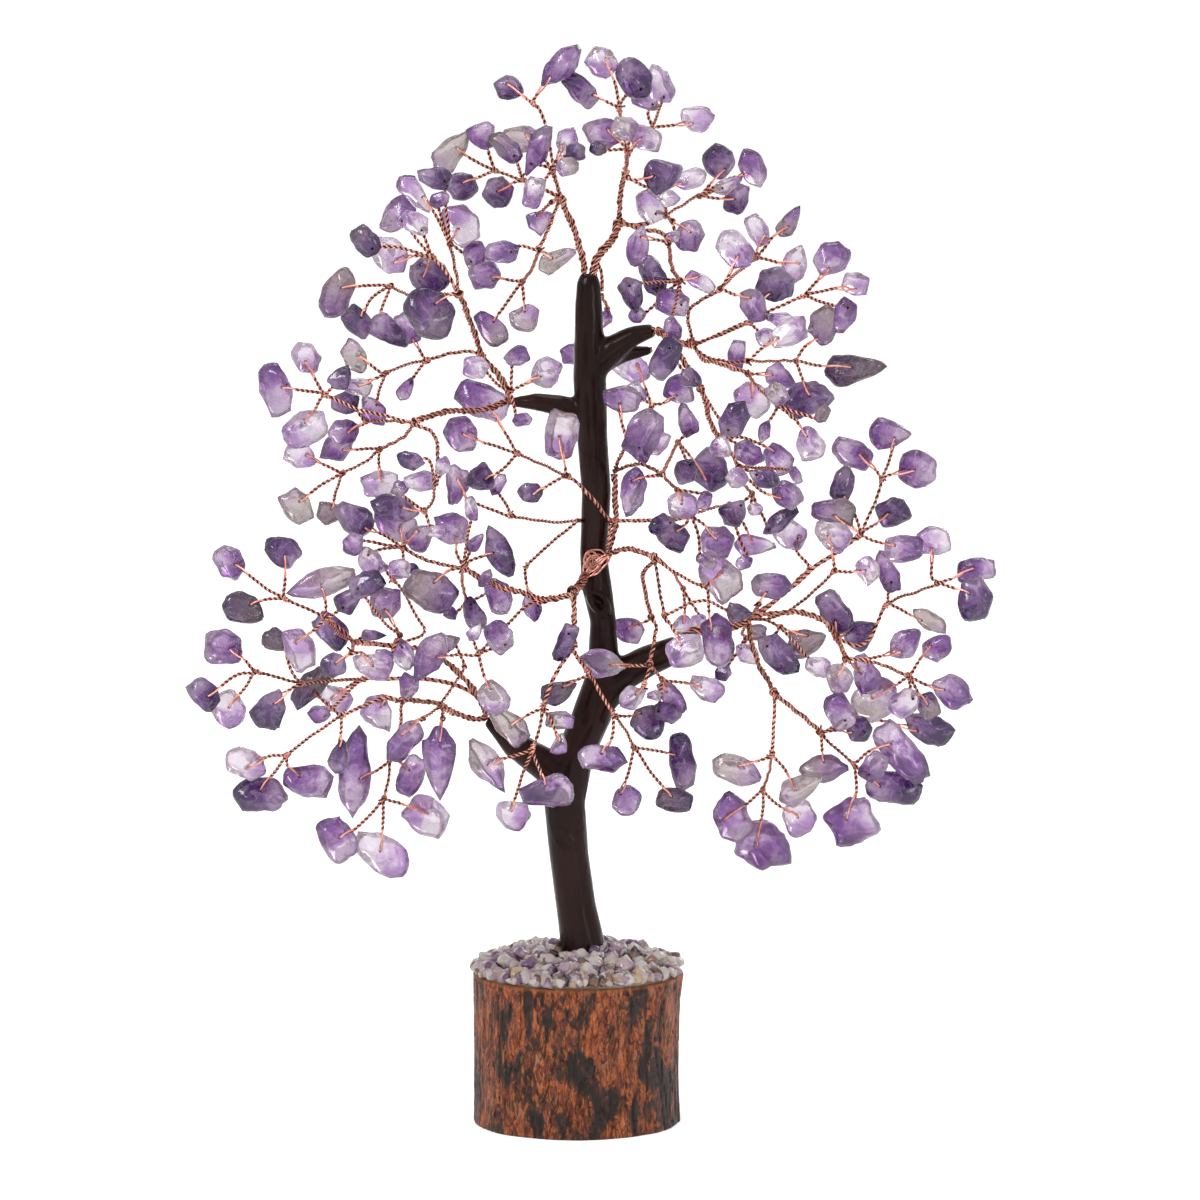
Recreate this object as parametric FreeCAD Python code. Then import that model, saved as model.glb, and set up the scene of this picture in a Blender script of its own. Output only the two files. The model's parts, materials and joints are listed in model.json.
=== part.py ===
import FreeCAD, Part
import math
import os

V = FreeCAD.Vector

# ---------------------------------------------------------------- driving sizes, mm
LOG_DIAMETER = 58.5
LOG_HEIGHT = 41.0
LOG_WAVE = 0.55            # how far the bark swells in and out
LOG_EDGE = 0.8             # worn edge at the foot and the rim
BARK_FACETS = 28           # sides of the log
ROOT_HOLE_DIAMETER = 9.0   # blind hole that holds the foot of the wire core
ROOT_HOLE_DEPTH = 14.0
BED_RISE = 4.6             # glue bed above the sawn face, at the trunk
BED_STEPS = 3              # slopes that make up its dome
BED_EDGE_DROP = 0.8        # share of the rise that is gone at the rim
BED_MARGIN = 0.5           # bare rim round the glue bed
GRAVEL_SIZE = 4.9
GRAVEL_GAP = 0.12          # gravel grain to the glue bed
GRAVEL_RINGS = 6
GRAVEL_SPREAD = 1.12       # grain to grain along a ring, in grain sizes
GRAVEL_ROW = 1.06          # ring to ring, in grain sizes
TRUNK_GIRTH = 8.2          # thickness of the clay coat in the middle of the crown
TRUNK_FACETS = 14          # sides of the clay coat
LIMB_FACETS = 10           # sides of its limbs
CORE_SIZE = 3.6            # bundle of wires inside the clay
LIMB_CORE_SIZE = 2.0
STRAND = 0.5               # one copper wire
PAIR_WIDTH = 0.95          # two strands twisted together
BUNDLE_PACK = 0.7          # how tightly many strands lie in a bundle
BUNDLE_NEST = 0.74         # how closely bundles lie side by side where they part
HOLE_CLEARANCE = 0.12      # drilled hole round the wire, each side
WIRE_CLEARANCE = 0.15      # wire lying over a chip's face
WIRE_TAIL = 0.7            # wire left standing behind a drilled chip
CHIP_LENGTH_SHARE = 1.06   # full length of a chip, against the flat part given in its row
CHIP_WIDTH_SHARE = 1.15    # the same, for its width
CHIP_THICKNESS = 0.62      # share of a chip's full width
CHIP_CLEARANCE = 0.3       # least free way between two chips
CHIP_LEAST_THICKNESS = 2.4
CHIP_SET_BACK = 0.5        # how far chips lean out of their fork's plane, per mm of reach
CHIP_SIDE_LEAN = 0.1       # the same, towards the side that faces away from the wire
CHIP_MOVES = 44            # places tried for a chip, 1 mm apart
CHIP_EGG = 0.96            # share of the egg shape that a wire must stay out of
SMALL_CHIP = 8.9           # chips no longer than this have fewer faces and no hole
HOLE_FROM_END = 0.27       # hidden hole to the chip's middle, in chip lengths
HOLE_ALONG_LIMIT = 0.33    # furthest hole from the middle, in chip lengths
HOLE_ACROSS_LIMIT = 0.24   # the same, in chip widths
HOLE_LEAST_STONE = 0.45    # least thickness at a hole, as a share of the chip's
BLIND_HOLE = 0.4           # depth of a hidden hole, as a share of the chip's thickness
FORK_REACH = 34.0          # longest wire or chip that can reach another
CROWN_HALF_WIDTH = 118.0
CROWN_HALF_DEPTH = 76.0
CROWN_CENTRE_HEIGHT = 172.0
CROWN_HALF_HEIGHT = 128.0
COIL_CENTRE = (4.4, 153.4) # rosette on the trunk, seen across and up
COIL_RIGHT = (3.6, 2.0)    # where its bundles leave, from its centre
COIL_LEFT = (-2.3, -3.5)
COIL_FIRST_ANGLE = -2.2
COIL_WIRE = 0.9
WIRE_SIDES = 5             # sides of a wound wire
COIL_TURNS = 2
COIL_FIRST_RADIUS = 1.35
COIL_PITCH = 1.4
TIE_TURNS = 2
TIE_GAP = 0.3              # tie winding to the bundle that it holds
TIE_BEFORE_FORK = 3.3
JOINT_GAP = 0.1            # between the ends of two bundles at a fork

# the layout below was read from straight in front, with the eye this far away and this
# high: a place further back is seen a little nearer the middle
EYE_DISTANCE = 3000.0
EYE_HEIGHT = 561.0

TONES = {"d": "deep", "v": "violet", "p": "pale"}
GRAVEL_TONES = ["gravel_clear", "gravel_lilac", "gravel_violet", "gravel_dark"]
GRAVEL_ORDER = ["gravel_clear", "gravel_lilac", "gravel_violet", "gravel_clear", "gravel_lilac",
                "gravel_clear", "gravel_dark", "gravel_lilac", "gravel_clear", "gravel_violet"]


# ---------------------------------------------------------------- trunk, as seen: height,
# left edge, right edge of the clay coat; the first row is where it meets the log
TRUNK_OUTLINE = [
    (41.0, -5.4, 9.2), (49.0, -4.8, 7.6), (60.0, -6.2, 5.1), (74.0, -8.0, 3.1),
    (87.5, -9.4, 2.0), (99.0, -7.6, 4.2), (110.0, -2.6, 9.2), (124.0, 2.3, 11.4),
    (137.0, 3.2, 10.7), (146.0, 0.9, 9.5), (156.0, 0.4, 7.9), (172.0, 0.9, 9.1),
    (188.0, -0.4, 8.3), (204.0, -1.4, 7.7), (220.0, -0.9, 6.9), (229.0, -0.3, 6.1),
    (231.6, 0.7, 5.2), (232.6, 1.8, 4.2),
]
GIRTH_ROW = 11
# limbs of the coat: route as across, up, depth, radius
LIMB_STUBS = {
    "stub_upper_right": [(3.2, 204.5, 0, 3.7), (9.5, 211.4, 0, 3.9), (15.0, 214.8, -1, 2.9),
                         (20.6, 216.4, -2, 2.0)],
    "stub_upper_left": [(3.5, 193.0, 0, 3.4), (-4.0, 195.7, 0, 3.1), (-11.0, 196.9, 0, 2.6),
                        (-18.0, 196.8, 0, 1.4)],
    "stub_lower_right": [(4.5, 113.0, 0, 4.6), (10.6, 121.6, 0, 4.9), (18.5, 126.2, 0, 4.5),
                         (27.4, 130.0, 0, 3.8)],
    "stub_lower_left": [(-3.0, 92.5, 0, 4.7), (-9.5, 98.6, 0, 4.7), (-17.0, 103.4, 0, 3.9),
                        (-24.2, 110.6, 0, 2.0)],
    "stub_second": [(3.5, 205.0, 1.5, 2.6), (12.0, 209.6, 2.5, 2.2), (20.0, 211.0, 3.5, 1.4)],
}


def lift():
    """How much higher the tree stands than it was laid out, on a taller log."""
    return LOG_HEIGHT - TRUNK_OUTLINE[0][0]


def girth_share():
    """How much thicker the coat is than it was laid out."""
    _, left, right = TRUNK_OUTLINE[GIRTH_ROW]
    return TRUNK_GIRTH / (right - left)


def seen(across, up, depth=0.0):
    """The point at this depth that is seen at this place."""
    reach = 1.0 + depth / EYE_DISTANCE
    return V(across * reach, depth, EYE_HEIGHT + (up - EYE_HEIGHT) * reach + lift())


def seen_from(point):
    """Where a point is seen, across and up."""
    reach = 1.0 + point.y / EYE_DISTANCE
    return point.x / reach, (point.z - lift() - EYE_HEIGHT) / reach + EYE_HEIGHT


def crown_depth(across, up, share):
    """Depth of a fork: a share of the round crown's half depth at that place."""
    off = (across / CROWN_HALF_WIDTH) ** 2 + ((up - CROWN_CENTRE_HEIGHT) / CROWN_HALF_HEIGHT) ** 2
    return share * CROWN_HALF_DEPTH * math.sqrt(max(0.16, 1.0 - off))


# ---------------------------------------------------------------- solids
def closed(faces):
    solid = Part.Solid(Part.Shell(faces))
    if solid.Volume < 0:
        solid.reverse()
    return solid


def flat_face(corners):
    return Part.Face(Part.makePolygon(list(corners) + [corners[0]]))


def bar(path, size, sides=3, turn=0.0):
    """A bent bar with flat sides and mitred corners, 'size' across its corners."""
    steps = [(path[i + 1] - path[i]).normalize() for i in range(len(path) - 1)]
    first = steps[0]
    other = V(0, 1, 0) if abs(first.y) < 0.8 else V(0, 0, 1)
    side = first.cross(other).normalize()
    rise = side.cross(first).normalize()
    ring = []
    for k in range(sides):
        angle = turn + 2 * math.pi * k / sides
        ring.append(path[0] + side * (math.cos(angle) * size / 2) + rise * (math.sin(angle) * size / 2))
    rings = [ring]
    for i, step in enumerate(steps):
        end = path[i + 1]
        mitre = step if i + 1 == len(steps) else (step + steps[i + 1]).normalize()
        ring = [p + step * ((end - p).dot(mitre) / step.dot(mitre)) for p in ring]
        rings.append(ring)
    faces = [flat_face(rings[0]), flat_face(rings[-1])]
    for low, high in zip(rings, rings[1:]):
        for k in range(sides):
            nxt = (k + 1) % sides
            faces.append(flat_face([low[k], low[nxt], high[nxt], high[k]]))
    return closed(faces)


def hull_planes(points):
    """Corner triples of the convex hull, with each plane's outward normal and offset."""
    centre = V(0, 0, 0)
    for p in points:
        centre = centre + p
    centre = centre * (1.0 / len(points))
    found = []
    count = len(points)
    for i in range(count - 2):
        for j in range(i + 1, count - 1):
            for k in range(j + 1, count):
                normal = (points[j] - points[i]).cross(points[k] - points[i])
                if normal.Length < 1e-9:
                    continue
                normal.normalize()
                offset = normal.dot(points[i])
                if normal.dot(centre) > offset:
                    normal, offset = normal * -1, -offset
                if all(normal.dot(p) <= offset + 1e-7 for p in points):
                    found.append((i, j, k, normal, offset))
    return found


def hull(points):
    return closed([flat_face([points[i], points[j], points[k]])
                   for i, j, k, _, _ in hull_planes(points)])


# ---------------------------------------------------------------- chips
# outlines, each as corners (along, across) in shares of the half length and half width
OUTLINES = {
    "oval": [(1.0, 0.1), (0.45, 0.93), (-0.5, 0.9), (-1.0, 0.05), (-0.55, -0.92), (0.5, -0.9)],
    "drop": [(1.0, 0.0), (0.2, 0.72), (-0.62, 1.0), (-1.0, 0.0), (-0.6, -0.98), (0.25, -0.7)],
    "block": [(0.97, 0.55), (0.2, 1.0), (-0.9, 0.82), (-1.0, -0.6), (-0.1, -1.0), (0.9, -0.85)],
    "wedge": [(1.0, 0.65), (0.35, 1.0), (-1.0, 0.3), (-0.85, -0.55), (0.1, -1.0), (0.9, -0.75)],
    "kite": [(1.0, 0.05), (0.3, 0.95), (-0.35, 0.8), (-1.0, -0.1), (-0.2, -1.0), (0.4, -0.75)],
}
OUTLINE_TURNS = ["oval", "block", "drop", "oval", "wedge", "kite", "block"]


class Chip:
    """One tumbled chip: a slanted ridge in front and a blunt back, on a six-cornered girdle."""

    def __init__(self, number, across, up, length, width, lean, outline):
        self.across, self.up, self.length, self.width = across, up, length, width
        self.thickness = max(CHIP_LEAST_THICKNESS, CHIP_THICKNESS * width)
        turn = math.radians(lean)
        self.along = V(math.cos(turn), 0, math.sin(turn))
        self.beside = V(-math.sin(turn), 0, math.cos(turn))
        swing = 0.5 + 0.35 * math.sin(number * 2.4)
        self.corners = []
        for k, (a, b) in enumerate(OUTLINES[outline]):
            sway = 0.16 * math.sin(number * 1.7 + k * 2.1)
            self.corners.append(self.local(a, b, sway))
        ridge = 0.5 * math.cos(number * 1.1)
        if length > SMALL_CHIP:
            self.corners += [self.local(swing, ridge * 0.6, -1), self.local(-0.45, ridge, -0.9)]
            self.corners.append(self.local(0.3 - swing, -ridge * 0.6, 1))
        else:
            self.corners += [self.local(0.2, ridge, -1), self.local(-0.2, -ridge, 1)]
        self.planes = [(n, d) for _, _, _, n, d in hull_planes(self.corners)]

    def local(self, a, b, c):
        return (self.along * (a * self.length / 2) + self.beside * (b * self.width / 2)
                + V(0, c * self.thickness / 2, 0))

    def through(self, a, b):
        """Front and back depth of the chip, from its middle, at a place on its face."""
        start = self.along * a + self.beside * b
        front, back = -99.0, 99.0
        for normal, offset in self.planes:
            room = offset - normal.dot(start)
            if normal.y > 1e-6:
                back = min(back, room / normal.y)
            elif normal.y < -1e-6:
                front = max(front, room / normal.y)
            elif room < 0:
                return None
        return (front, back) if front < back else None

    def to_face(self, across, up):
        """A seen place in the chip's own (along, across) measure."""
        move = V(across - self.across, 0, up - self.up)
        return move.dot(self.along), move.dot(self.beside)

    def from_face(self, a, b):
        move = self.along * a + self.beside * b
        return self.across + move.x, self.up + move.z

    def hook(self, place, towards):
        """Where the wire goes through: as given, or near the end that faces the fork."""
        a, b = self.to_face(*(place or towards))
        if place is None:
            a = math.copysign(HOLE_FROM_END * self.length, a)
            b = 0.0
        furthest, widest = HOLE_ALONG_LIMIT * self.length, HOLE_ACROSS_LIMIT * self.width
        a = max(-furthest, min(furthest, a))
        b = max(-widest, min(widest, b))
        span = self.through(a, b)
        while span is None or span[1] - span[0] < HOLE_LEAST_STONE * self.thickness:
            a, b = 0.9 * a, 0.9 * b
            span = self.through(a, b)
        return a, b

    def touches_ball(self, centre, other, other_centre):
        """Rough test: two chips as egg shapes along the line between their middles."""
        line = other_centre - centre
        gap = line.Length
        if gap < 1e-6:
            return True
        line = line * (1.0 / gap)
        return gap < self.egg(line) + other.egg(line) + CHIP_CLEARANCE

    def egg(self, line):
        a = line.dot(self.along) / (self.length / 2)
        b = line.dot(self.beside) / (self.width / 2)
        c = line.y / (self.thickness / 2)
        return 1.0 / math.sqrt(a * a + b * b + c * c)

    def touches_wire(self, centre, start, end, reach):
        """The chip as an egg shape, swollen by the wire's half thickness."""
        def flatten(p):
            move = p - centre
            return V(move.dot(self.along) / (self.length / 2 + reach),
                     move.dot(self.beside) / (self.width / 2 + reach),
                     move.y / (self.thickness / 2 + reach))
        a, b = flatten(start), flatten(end)
        run = b - a
        share = 0.0
        if run.Length > 1e-9:
            share = max(0.0, min(1.0, -a.dot(run) / run.dot(run)))
        return (a + run * share).Length < CHIP_EGG


# ---------------------------------------------------------------- layout of the crown
# One row per sprig: its name, the fork or stub that it grows from, its fork's share of the
# crown's half depth (minus is nearer), the seen route of its stem up to the fork, and its
# chips.  One row per chip: across, up, length, width, lean in degrees, tone with any outline,
# the drilled hole where it shows, then the bends of its twig.  All as seen from the front.
STARTS = {
    "top_left": (1.7, 234.6, 0.0),
    "top_right": (4.4, 234.6, 0.0),
    "stub_upper_right": (20.8, 216.6, -2.0),
    "stub_upper_left": (-18.2, 196.8, 0.0),
    "stub_lower_right": (27.6, 130.2, 0.0),
    "stub_lower_left": (-24.4, 110.9, 0.0),
    "trunk_right": (9.8, 178.0, -2.6),
    "trunk_left": (0.2, 164.4, -3.2),
    "trunk_front": (9.0, 164.5, -6.2),
    "back_of_top": (6.5, 226.0, 5.8),
}

CROWN = {
    "top_left": [
        ("a0", "top_left", -0.1, [(-1.5, 245), (-4.5, 252)], []),
        ("a1", "a0", 0.1, [(-7, 262), (-9, 275), (-12.5, 278)], [
            (-18.5, 281.5, 7, 6, 20, "d", (-19, 283)),
            (-4, 288, 17, 7, 45, "v:kite", (-8, 284))]),
        ("a2", "a0", -0.35, [(-7, 260)], [
            (-10.5, 265.5, 16, 6, 65, "v:kite", None),
            (-15.5, 268, 10, 7, -10, "p", (-14, 269.5)),
            (-2.5, 267, 9, 6, 70, "p", (-3.7, 266.5)),
            (-0.5, 264.5, 5, 4, 0, "d", None),
            (-2.5, 260.5, 7, 5, 10, "p", None),
            (-11.8, 253.5, 8, 5, 80, "p", None, (-9.7, 255.5))]),
        ("a3", "a0", -0.5, [(-7, 251)], [
            (-10, 246, 7.5, 6, 35, "v", (-11.5, 248.3))]),
        ("a4", "a0", 0.5, [(-13, 256.5), (-17, 257.5), (-22.5, 259.5)], [
            (-33.5, 265, 15, 7, 50, "p:drop", (-32.5, 265.5), (-29, 263)),
            (-26, 269, 7.5, 7, 0, "v", None, (-24.5, 266)),
            (-31.5, 255, 11, 7.5, -15, "d", (-31, 256.3), (-27, 257.3))]),
        ("a5", "a0", -0.2, [(-9, 254.5), (-15, 257)], [
            (-19, 265.5, 10, 5, -45, "v", None, (-16, 261)),
            (-21.5, 253.5, 9, 7.5, -50, "d", (-21.5, 254), (-18, 256))]),
        ("a6", "a0", -0.7, [(-7, 246), (-8.5, 241.5), (-10.5, 238)], [
            (-20.5, 237.5, 9.5, 5.5, 0, "v", None, (-15.5, 239.5)),
            (-5, 235.7, 12.5, 5.5, 25, "p", (-6.8, 236))]),
        ("a7", "a6", 0.2, [(-12, 233), (-15, 229.5)], [
            (-25, 231.5, 9.5, 8, 0, "v", (-23.2, 231)),
            (-14.5, 219.7, 8, 7, 0, "p", (-14.3, 222.7)),
            (-23.2, 217, 11, 6.5, -50, "v:wedge", (-22.5, 219), (-20, 223))]),
    ],
    "top_right": [
        ("b0", "top_right", 0.1, [(6, 237), (10, 241.5), (11, 246)], []),
        ("b00", "b0", 0.1, [(12, 256), (13, 260)], []),
        ("b1", "b00", 0.05, [(13, 266), (11, 276.5)], [
            (6.5, 288.5, 8, 7, -30, "p", (7.5, 289.7), (10, 284)),
            (14.8, 284.5, 13, 8.5, -55, "d", None, (12.8, 280)),
            (1, 281, 12, 6, -45, "d", (4.5, 280), (8, 277.8))]),
        ("b2", "b00", 0.45, [(14, 265), (20, 271)], [
            (18.5, 278.5, 9, 6, -35, "v", None, (18.5, 275)),
            (22, 282.5, 11.5, 7, -70, "p", None),
            (31.5, 273.7, 9.5, 7, -20, "p", (30.8, 272.3), (25, 271.5))]),
        ("b3", "b00", -0.35, [(13.5, 265)], [
            (7, 269.5, 12, 8, -20, "v", (8, 270.7)),
            (13, 271, 7, 6, -10, "p", None),
            (5.5, 265.3, 5, 3.5, -30, "d", None),
            (18.2, 268.2, 8.5, 6, -15, "p", (17, 268.3))]),
        ("b4", "b00", -0.65, [(13.5, 257.5)], [
            (23.5, 258.5, 11, 9, 20, "d", (20.5, 258.3), (16, 256.8)),
            (30.5, 257.3, 9, 5, 20, "p", (27.5, 255.8), (20, 254))]),
        ("b5", "b0", 0.2, [(14.5, 244.3), (19, 245), (24, 247.5)], [
            (19.7, 250.2, 9, 7, -60, "p", None),
            (24.5, 252, 7, 4.5, 0, "p", None)]),
        ("b6", "b5", 0.6, [(28, 250), (33, 252.7)], [
            (37.8, 262, 9, 8, -40, "d", (39.5, 260)),
            (47, 259.8, 12, 6.5, -65, "v", (45.3, 258.6), (40, 257.5)),
            (42.5, 251.8, 9, 6, 75, "d", (42, 252), (37, 251.8)),
            (41, 256, 9, 4, 30, "p", None)]),
        ("b7", "b5", -0.3, [(25.5, 245.8)], [
            (30, 241.8, 9.5, 7.5, 60, "v", (30.3, 243)),
            (25.5, 241.7, 4, 3, 0, "p", None)]),
        ("b8", "b0", -0.5, [(17, 243.3), (22.5, 243.5), (24.5, 240)], [
            (16.3, 238.5, 11.5, 6, 75, "v", None)]),
        ("b9", "b8", 0.35, [(25, 233), (27.5, 229.7)], [
            (33, 229.3, 9.5, 4, -30, "p", (32.5, 231)),
            (20.2, 231, 12, 6.3, -70, "d", None, (23.5, 230)),
            (25.3, 223.8, 9, 7, -10, "v", None, (27.7, 226.5)),
            (14.7, 225.5, 11, 6.5, -75, "d", None),
            (16, 220.2, 5, 4, 0, "v", None),
            (25.7, 216.9, 7, 5, -75, "v", None)]),
        ("b10", "back_of_top", 0.45, [(8, 222)], [
            (7.5, 219.5, 5.5, 3.5, 70, "v", None),
            (-1.5, 210, 7, 5, 20, "v", None, (3, 215))]),
    ],
    "upper_right": [
        ("c0", "stub_upper_right", 0.0, [(27, 213), (31, 212.5)], []),
        ("c1", "c0", 0.1, [(36, 214.5), (46, 219), (55, 223), (61.5, 225.8)], [
            (68.5, 236, 11, 9, 10, "v", (67.5, 233), (62.5, 228)),
            (74.8, 229, 8, 5.8, -10, "p", (74.5, 226.5), (70, 228)),
            (71.5, 220, 9.5, 6, 65, "v:wedge", None, (65, 223.8))]),
        ("c2", "c0", -0.35, [(37, 214.6), (46.5, 218.5)], [
            (53.2, 228.7, 10, 9, -40, "d", (51.7, 226.3), (49, 224)),
            (54.5, 219.3, 8, 4, -15, "p", None),
            (50.5, 214.5, 6, 5, -20, "p", None)]),
        ("c3", "c0", -0.6, [(29, 221), (33, 224.5), (38.5, 227.5)], [
            (47.3, 222.8, 9.5, 6.5, -65, "v", (46.5, 225.3), (41.5, 226)),
            (42.3, 238, 12, 8, -55, "p", (43.2, 236.5), (41, 232))]),
        ("c4", "c3", 0.5, [(43, 232), (48, 236)], [
            (48.2, 243.5, 9.5, 5, -60, "p", (51, 242), (48, 239)),
            (57.2, 245.8, 10.5, 5, 60, "v", (56.5, 244.5), (52, 241.5)),
            (58, 233.5, 13, 7, 65, "p:kite", (59.5, 234.5), (53, 234.5))]),
        ("c5", "c0", -0.5, [(33, 209.8), (40, 207.5), (46, 208)], [
            (57, 215.7, 11, 7, 20, "p", (54, 214.3), (50, 211.8))]),
        ("c6", "c5", 0.15, [(50, 207.7), (59, 208)], [
            (75.2, 206, 17, 8.5, 8, "d:drop", (73.7, 206.5), (66, 206.5)),
            (61.5, 197.8, 13, 9, 35, "d", (62.5, 198.8), (60.5, 203.5)),
            (66.3, 217.7, 12.5, 7.5, 75, "v", (64.5, 213.8), (61.5, 212.5))]),
        ("c7", "c0", 0.6, [(33, 208), (38, 207.5), (46, 204.5)], [
            (42.6, 209, 9, 4.7, 85, "v", None),
            (54.7, 203.3, 10.5, 6.5, -30, "v", (51.5, 204.7)),
            (47, 197.5, 10.5, 8.5, -20, "p", (46.8, 198.3), (47, 202))]),
        ("c8", "c7", -0.3, [(49, 200), (54, 195.8)], [
            (62.7, 185.7, 9.5, 7.5, -80, "p", (61.7, 187.7), (58.5, 192.5)),
            (50.3, 188.7, 7, 3.3, 70, "v", None),
            (53.8, 199, 6.5, 5, -40, "p", None),
            (66, 193.5, 6.2, 3.6, 70, "v", None)]),
        ("c9", "stub_upper_right", -0.3, [(25, 213.5), (30, 206), (33.5, 200)], [
            (23.3, 208.5, 12, 6.5, 65, "d", None, (27, 207)),
            (31, 203, 7, 5, -30, "d", None),
            (42.3, 192.3, 11.5, 7, 60, "d", None, (36.5, 194.5))]),
        ("d1", "trunk_right", -0.3, [(10.5, 180.5), (13.5, 185.5)], [
            (11.3, 197.7, 10.5, 7, -10, "v", (11.3, 196.5), (12, 191)),
            (21, 185.8, 9, 6, 25, "p", (21.5, 183.5), (17, 184.7)),
            (18, 188.5, 14, 9, 70, "v", None)]),
        ("d2", "d1", 0.35, [(17, 191), (20, 196)], [
            (14, 206.5, 13, 7, -35, "p", (16, 207), (18, 201)),
            (15.8, 199.5, 6, 4, -60, "p", None),
            (27.7, 199.7, 9.5, 7.5, -40, "v", (26.5, 198.7), (23, 196))]),
        ("d3", "trunk_right", -0.55, [(16, 180.5), (20, 179), (23, 177)], [
            (15, 172.5, 14, 6.5, 75, "v", (14.7, 175.5), (19, 176.8))]),
        ("d4", "d3", 0.4, [(25, 182), (27, 186)], [
            (29.5, 192, 10, 5, -70, "v", None),
            (29, 177.8, 8.5, 6.5, 60, "d", None, (28.5, 182.5)),
            (35.7, 178.3, 11.5, 9, -50, "d", (34, 175.5), (31, 181))]),
        ("d5", "d3", -0.2, [(25, 174.5), (27, 173)], [
            (28.5, 168.8, 9, 7, -20, "p", (28, 169.5)),
            (34.3, 170, 5.5, 3.5, 70, "v", None)]),
    ],
    "centre_right": [
        ("e0", "c9", 0.1, [(36, 190), (38.5, 187)], [
            (39, 184, 7, 6, -40, "p", None),
            (46, 183, 9, 6, -30, "v", None, (42, 186.5)),
            (54, 181.5, 9.5, 7, -60, "v", (52.5, 184), (46, 187.5))]),
        ("e1", "e0", -0.4, [(41, 184), (43.5, 179)], [
            (50.7, 176.3, 9, 6.5, -20, "d", None),
            (42.8, 176, 6, 5, 40, "p", None),
            (56.5, 171.5, 9, 6.7, -20, "v", (55, 171), (49, 172.5)),
            (58.8, 177, 5, 2.8, -60, "v", None, (52, 179))]),
        ("e2", "e1", 0.25, [(45, 174), (47, 172)], [
            (42.3, 167, 9, 7.5, 50, "d", None),
            (47.8, 167.7, 4.8, 3.5, 0, "p", None),
            (54.7, 164.8, 14.5, 5, 38, "d:kite", None)]),
        ("f1", "trunk_front", -0.15, [(18, 164.5), (25, 165.2), (30.5, 166)], [
            (22.5, 163.5, 9.2, 5.4, 15, "d", None),
            (26, 160.3, 8.5, 6.5, -30, "d", (26.5, 162), (29, 163)),
            (37.5, 158.7, 10.5, 8.5, 0, "v", (37.5, 160), (34, 164)),
            (34.5, 153.5, 6.5, 3, -25, "p", None, (33, 160))]),
        ("f2", "f1", 0.45, [(36, 168), (41, 169)], [
            (48.3, 158, 12, 5.5, 0, "p", (47, 158.5), (44.5, 165)),
            (44.8, 153.2, 5.5, 4, 20, "v", None, (43, 161))]),
        ("g0", "coil_right", -0.2, [(12, 157), (15, 157), (21, 154.5)], []),
        ("g1", "g0", 0.3, [(25, 151.5), (28.5, 146)], [
            (27.7, 136, 6, 5, 30, "p", (28.5, 137), (29, 140)),
            (32.5, 136.5, 7, 5, 60, "p", None)]),
        ("g2", "g0", -0.25, [(25, 151.5), (31, 148), (35, 146.5)], [
            (38.5, 148.9, 13, 9, -50, "p", (39, 150.7)),
            (38, 131.7, 16, 8, -85, "v", (36, 135), (35.3, 142))]),
        ("g3", "g0", -0.5, [(22.5, 143), (23.5, 138.5)], [
            (29, 129, 10.5, 8, 25, "p", (27.8, 131.5), (25.5, 135.5)),
            (43.5, 139.5, 7, 5, 0, "d", None, (33, 144))]),
        ("g4", "g0", 0.15, [(17, 150.5), (18.5, 143.5), (20, 138)], [
            (13.3, 135, 9, 6.5, -25, "v:wedge", (13.7, 135.5))]),
    ],
    "lower_right": [
        ("h0", "stub_lower_right", 0.05, [(31, 134.8), (41, 135.5), (46, 138)], []),
        ("h1", "h0", 0.0, [(51, 140.5), (63, 151.5), (69, 155.5), (76.3, 160.8)], [
            (69, 167, 12, 7.5, -10, "v", (69.2, 166.3), (73, 163.5)),
            (85, 167, 10.5, 8.5, -20, "d", (83.8, 167), (80, 163.5)),
            (88.5, 157, 10.5, 7, 10, "v", (85.5, 158), (80, 158.7)),
            (71.3, 174.5, 11, 6, 70, "d", (72.3, 171), (75, 166))]),
        ("h2", "h1", 0.35, [(80.5, 170), (82, 176.5)], [
            (74, 183, 11.5, 7, -20, "v", (75.7, 183), (79, 180)),
            (84.5, 188.3, 12, 8, 0, "v", (85.3, 187.3), (84, 181)),
            (91.8, 178.5, 12, 9.5, -35, "v", (90.7, 178.7), (86, 177.5))]),
        ("h3", "h0", -0.4, [(54, 138), (63, 144.5), (69.5, 151.3)], [
            (68.5, 160.7, 9.5, 7.5, -30, "p", (67.5, 160.8), (69, 156)),
            (78.5, 151, 9, 6.3, 85, "p", (77.5, 151.2), (73, 150.7))]),
        ("h4", "h0", 0.5, [(55, 144), (63, 152)], [
            (57, 161.3, 9, 7.5, -30, "p", None, (58.5, 156.5))]),
        ("h5", "h0", -0.55, [(48, 140), (49, 142)], [
            (52.2, 147, 11.5, 7, -10, "v", (51, 145.3))]),
        ("h6", "h0", 0.3, [(57, 140), (66, 138.5), (70, 132.2)], [
            (69.5, 139.5, 13, 7, -55, "d", (69.5, 137.5)),
            (76.5, 133.7, 10, 9, 35, "d", (72.5, 134.8))]),
        ("h7", "h6", -0.35, [(71.5, 129.5), (72.5, 127)], [
            (71, 121.5, 8, 7.5, 0, "p", (70, 122.5)),
            (78, 123, 10.5, 7, -75, "v", (76.5, 123.3)),
            (88.3, 131, 11.5, 7.5, 40, "v", (87.3, 129.3), (81, 127.5))]),
        ("h8", "h7", 0.3, [(81, 126), (89.5, 122.3)], [
            (101.5, 118, 11, 8, -50, "v", (98, 119), (93, 120.3)),
            (97, 130, 9, 6.5, 40, "v", (94.5, 131.8), (91.5, 125.5)),
            (94.8, 114.3, 7.5, 6, -60, "v", (94.5, 114.5), (92, 117.5)),
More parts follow.
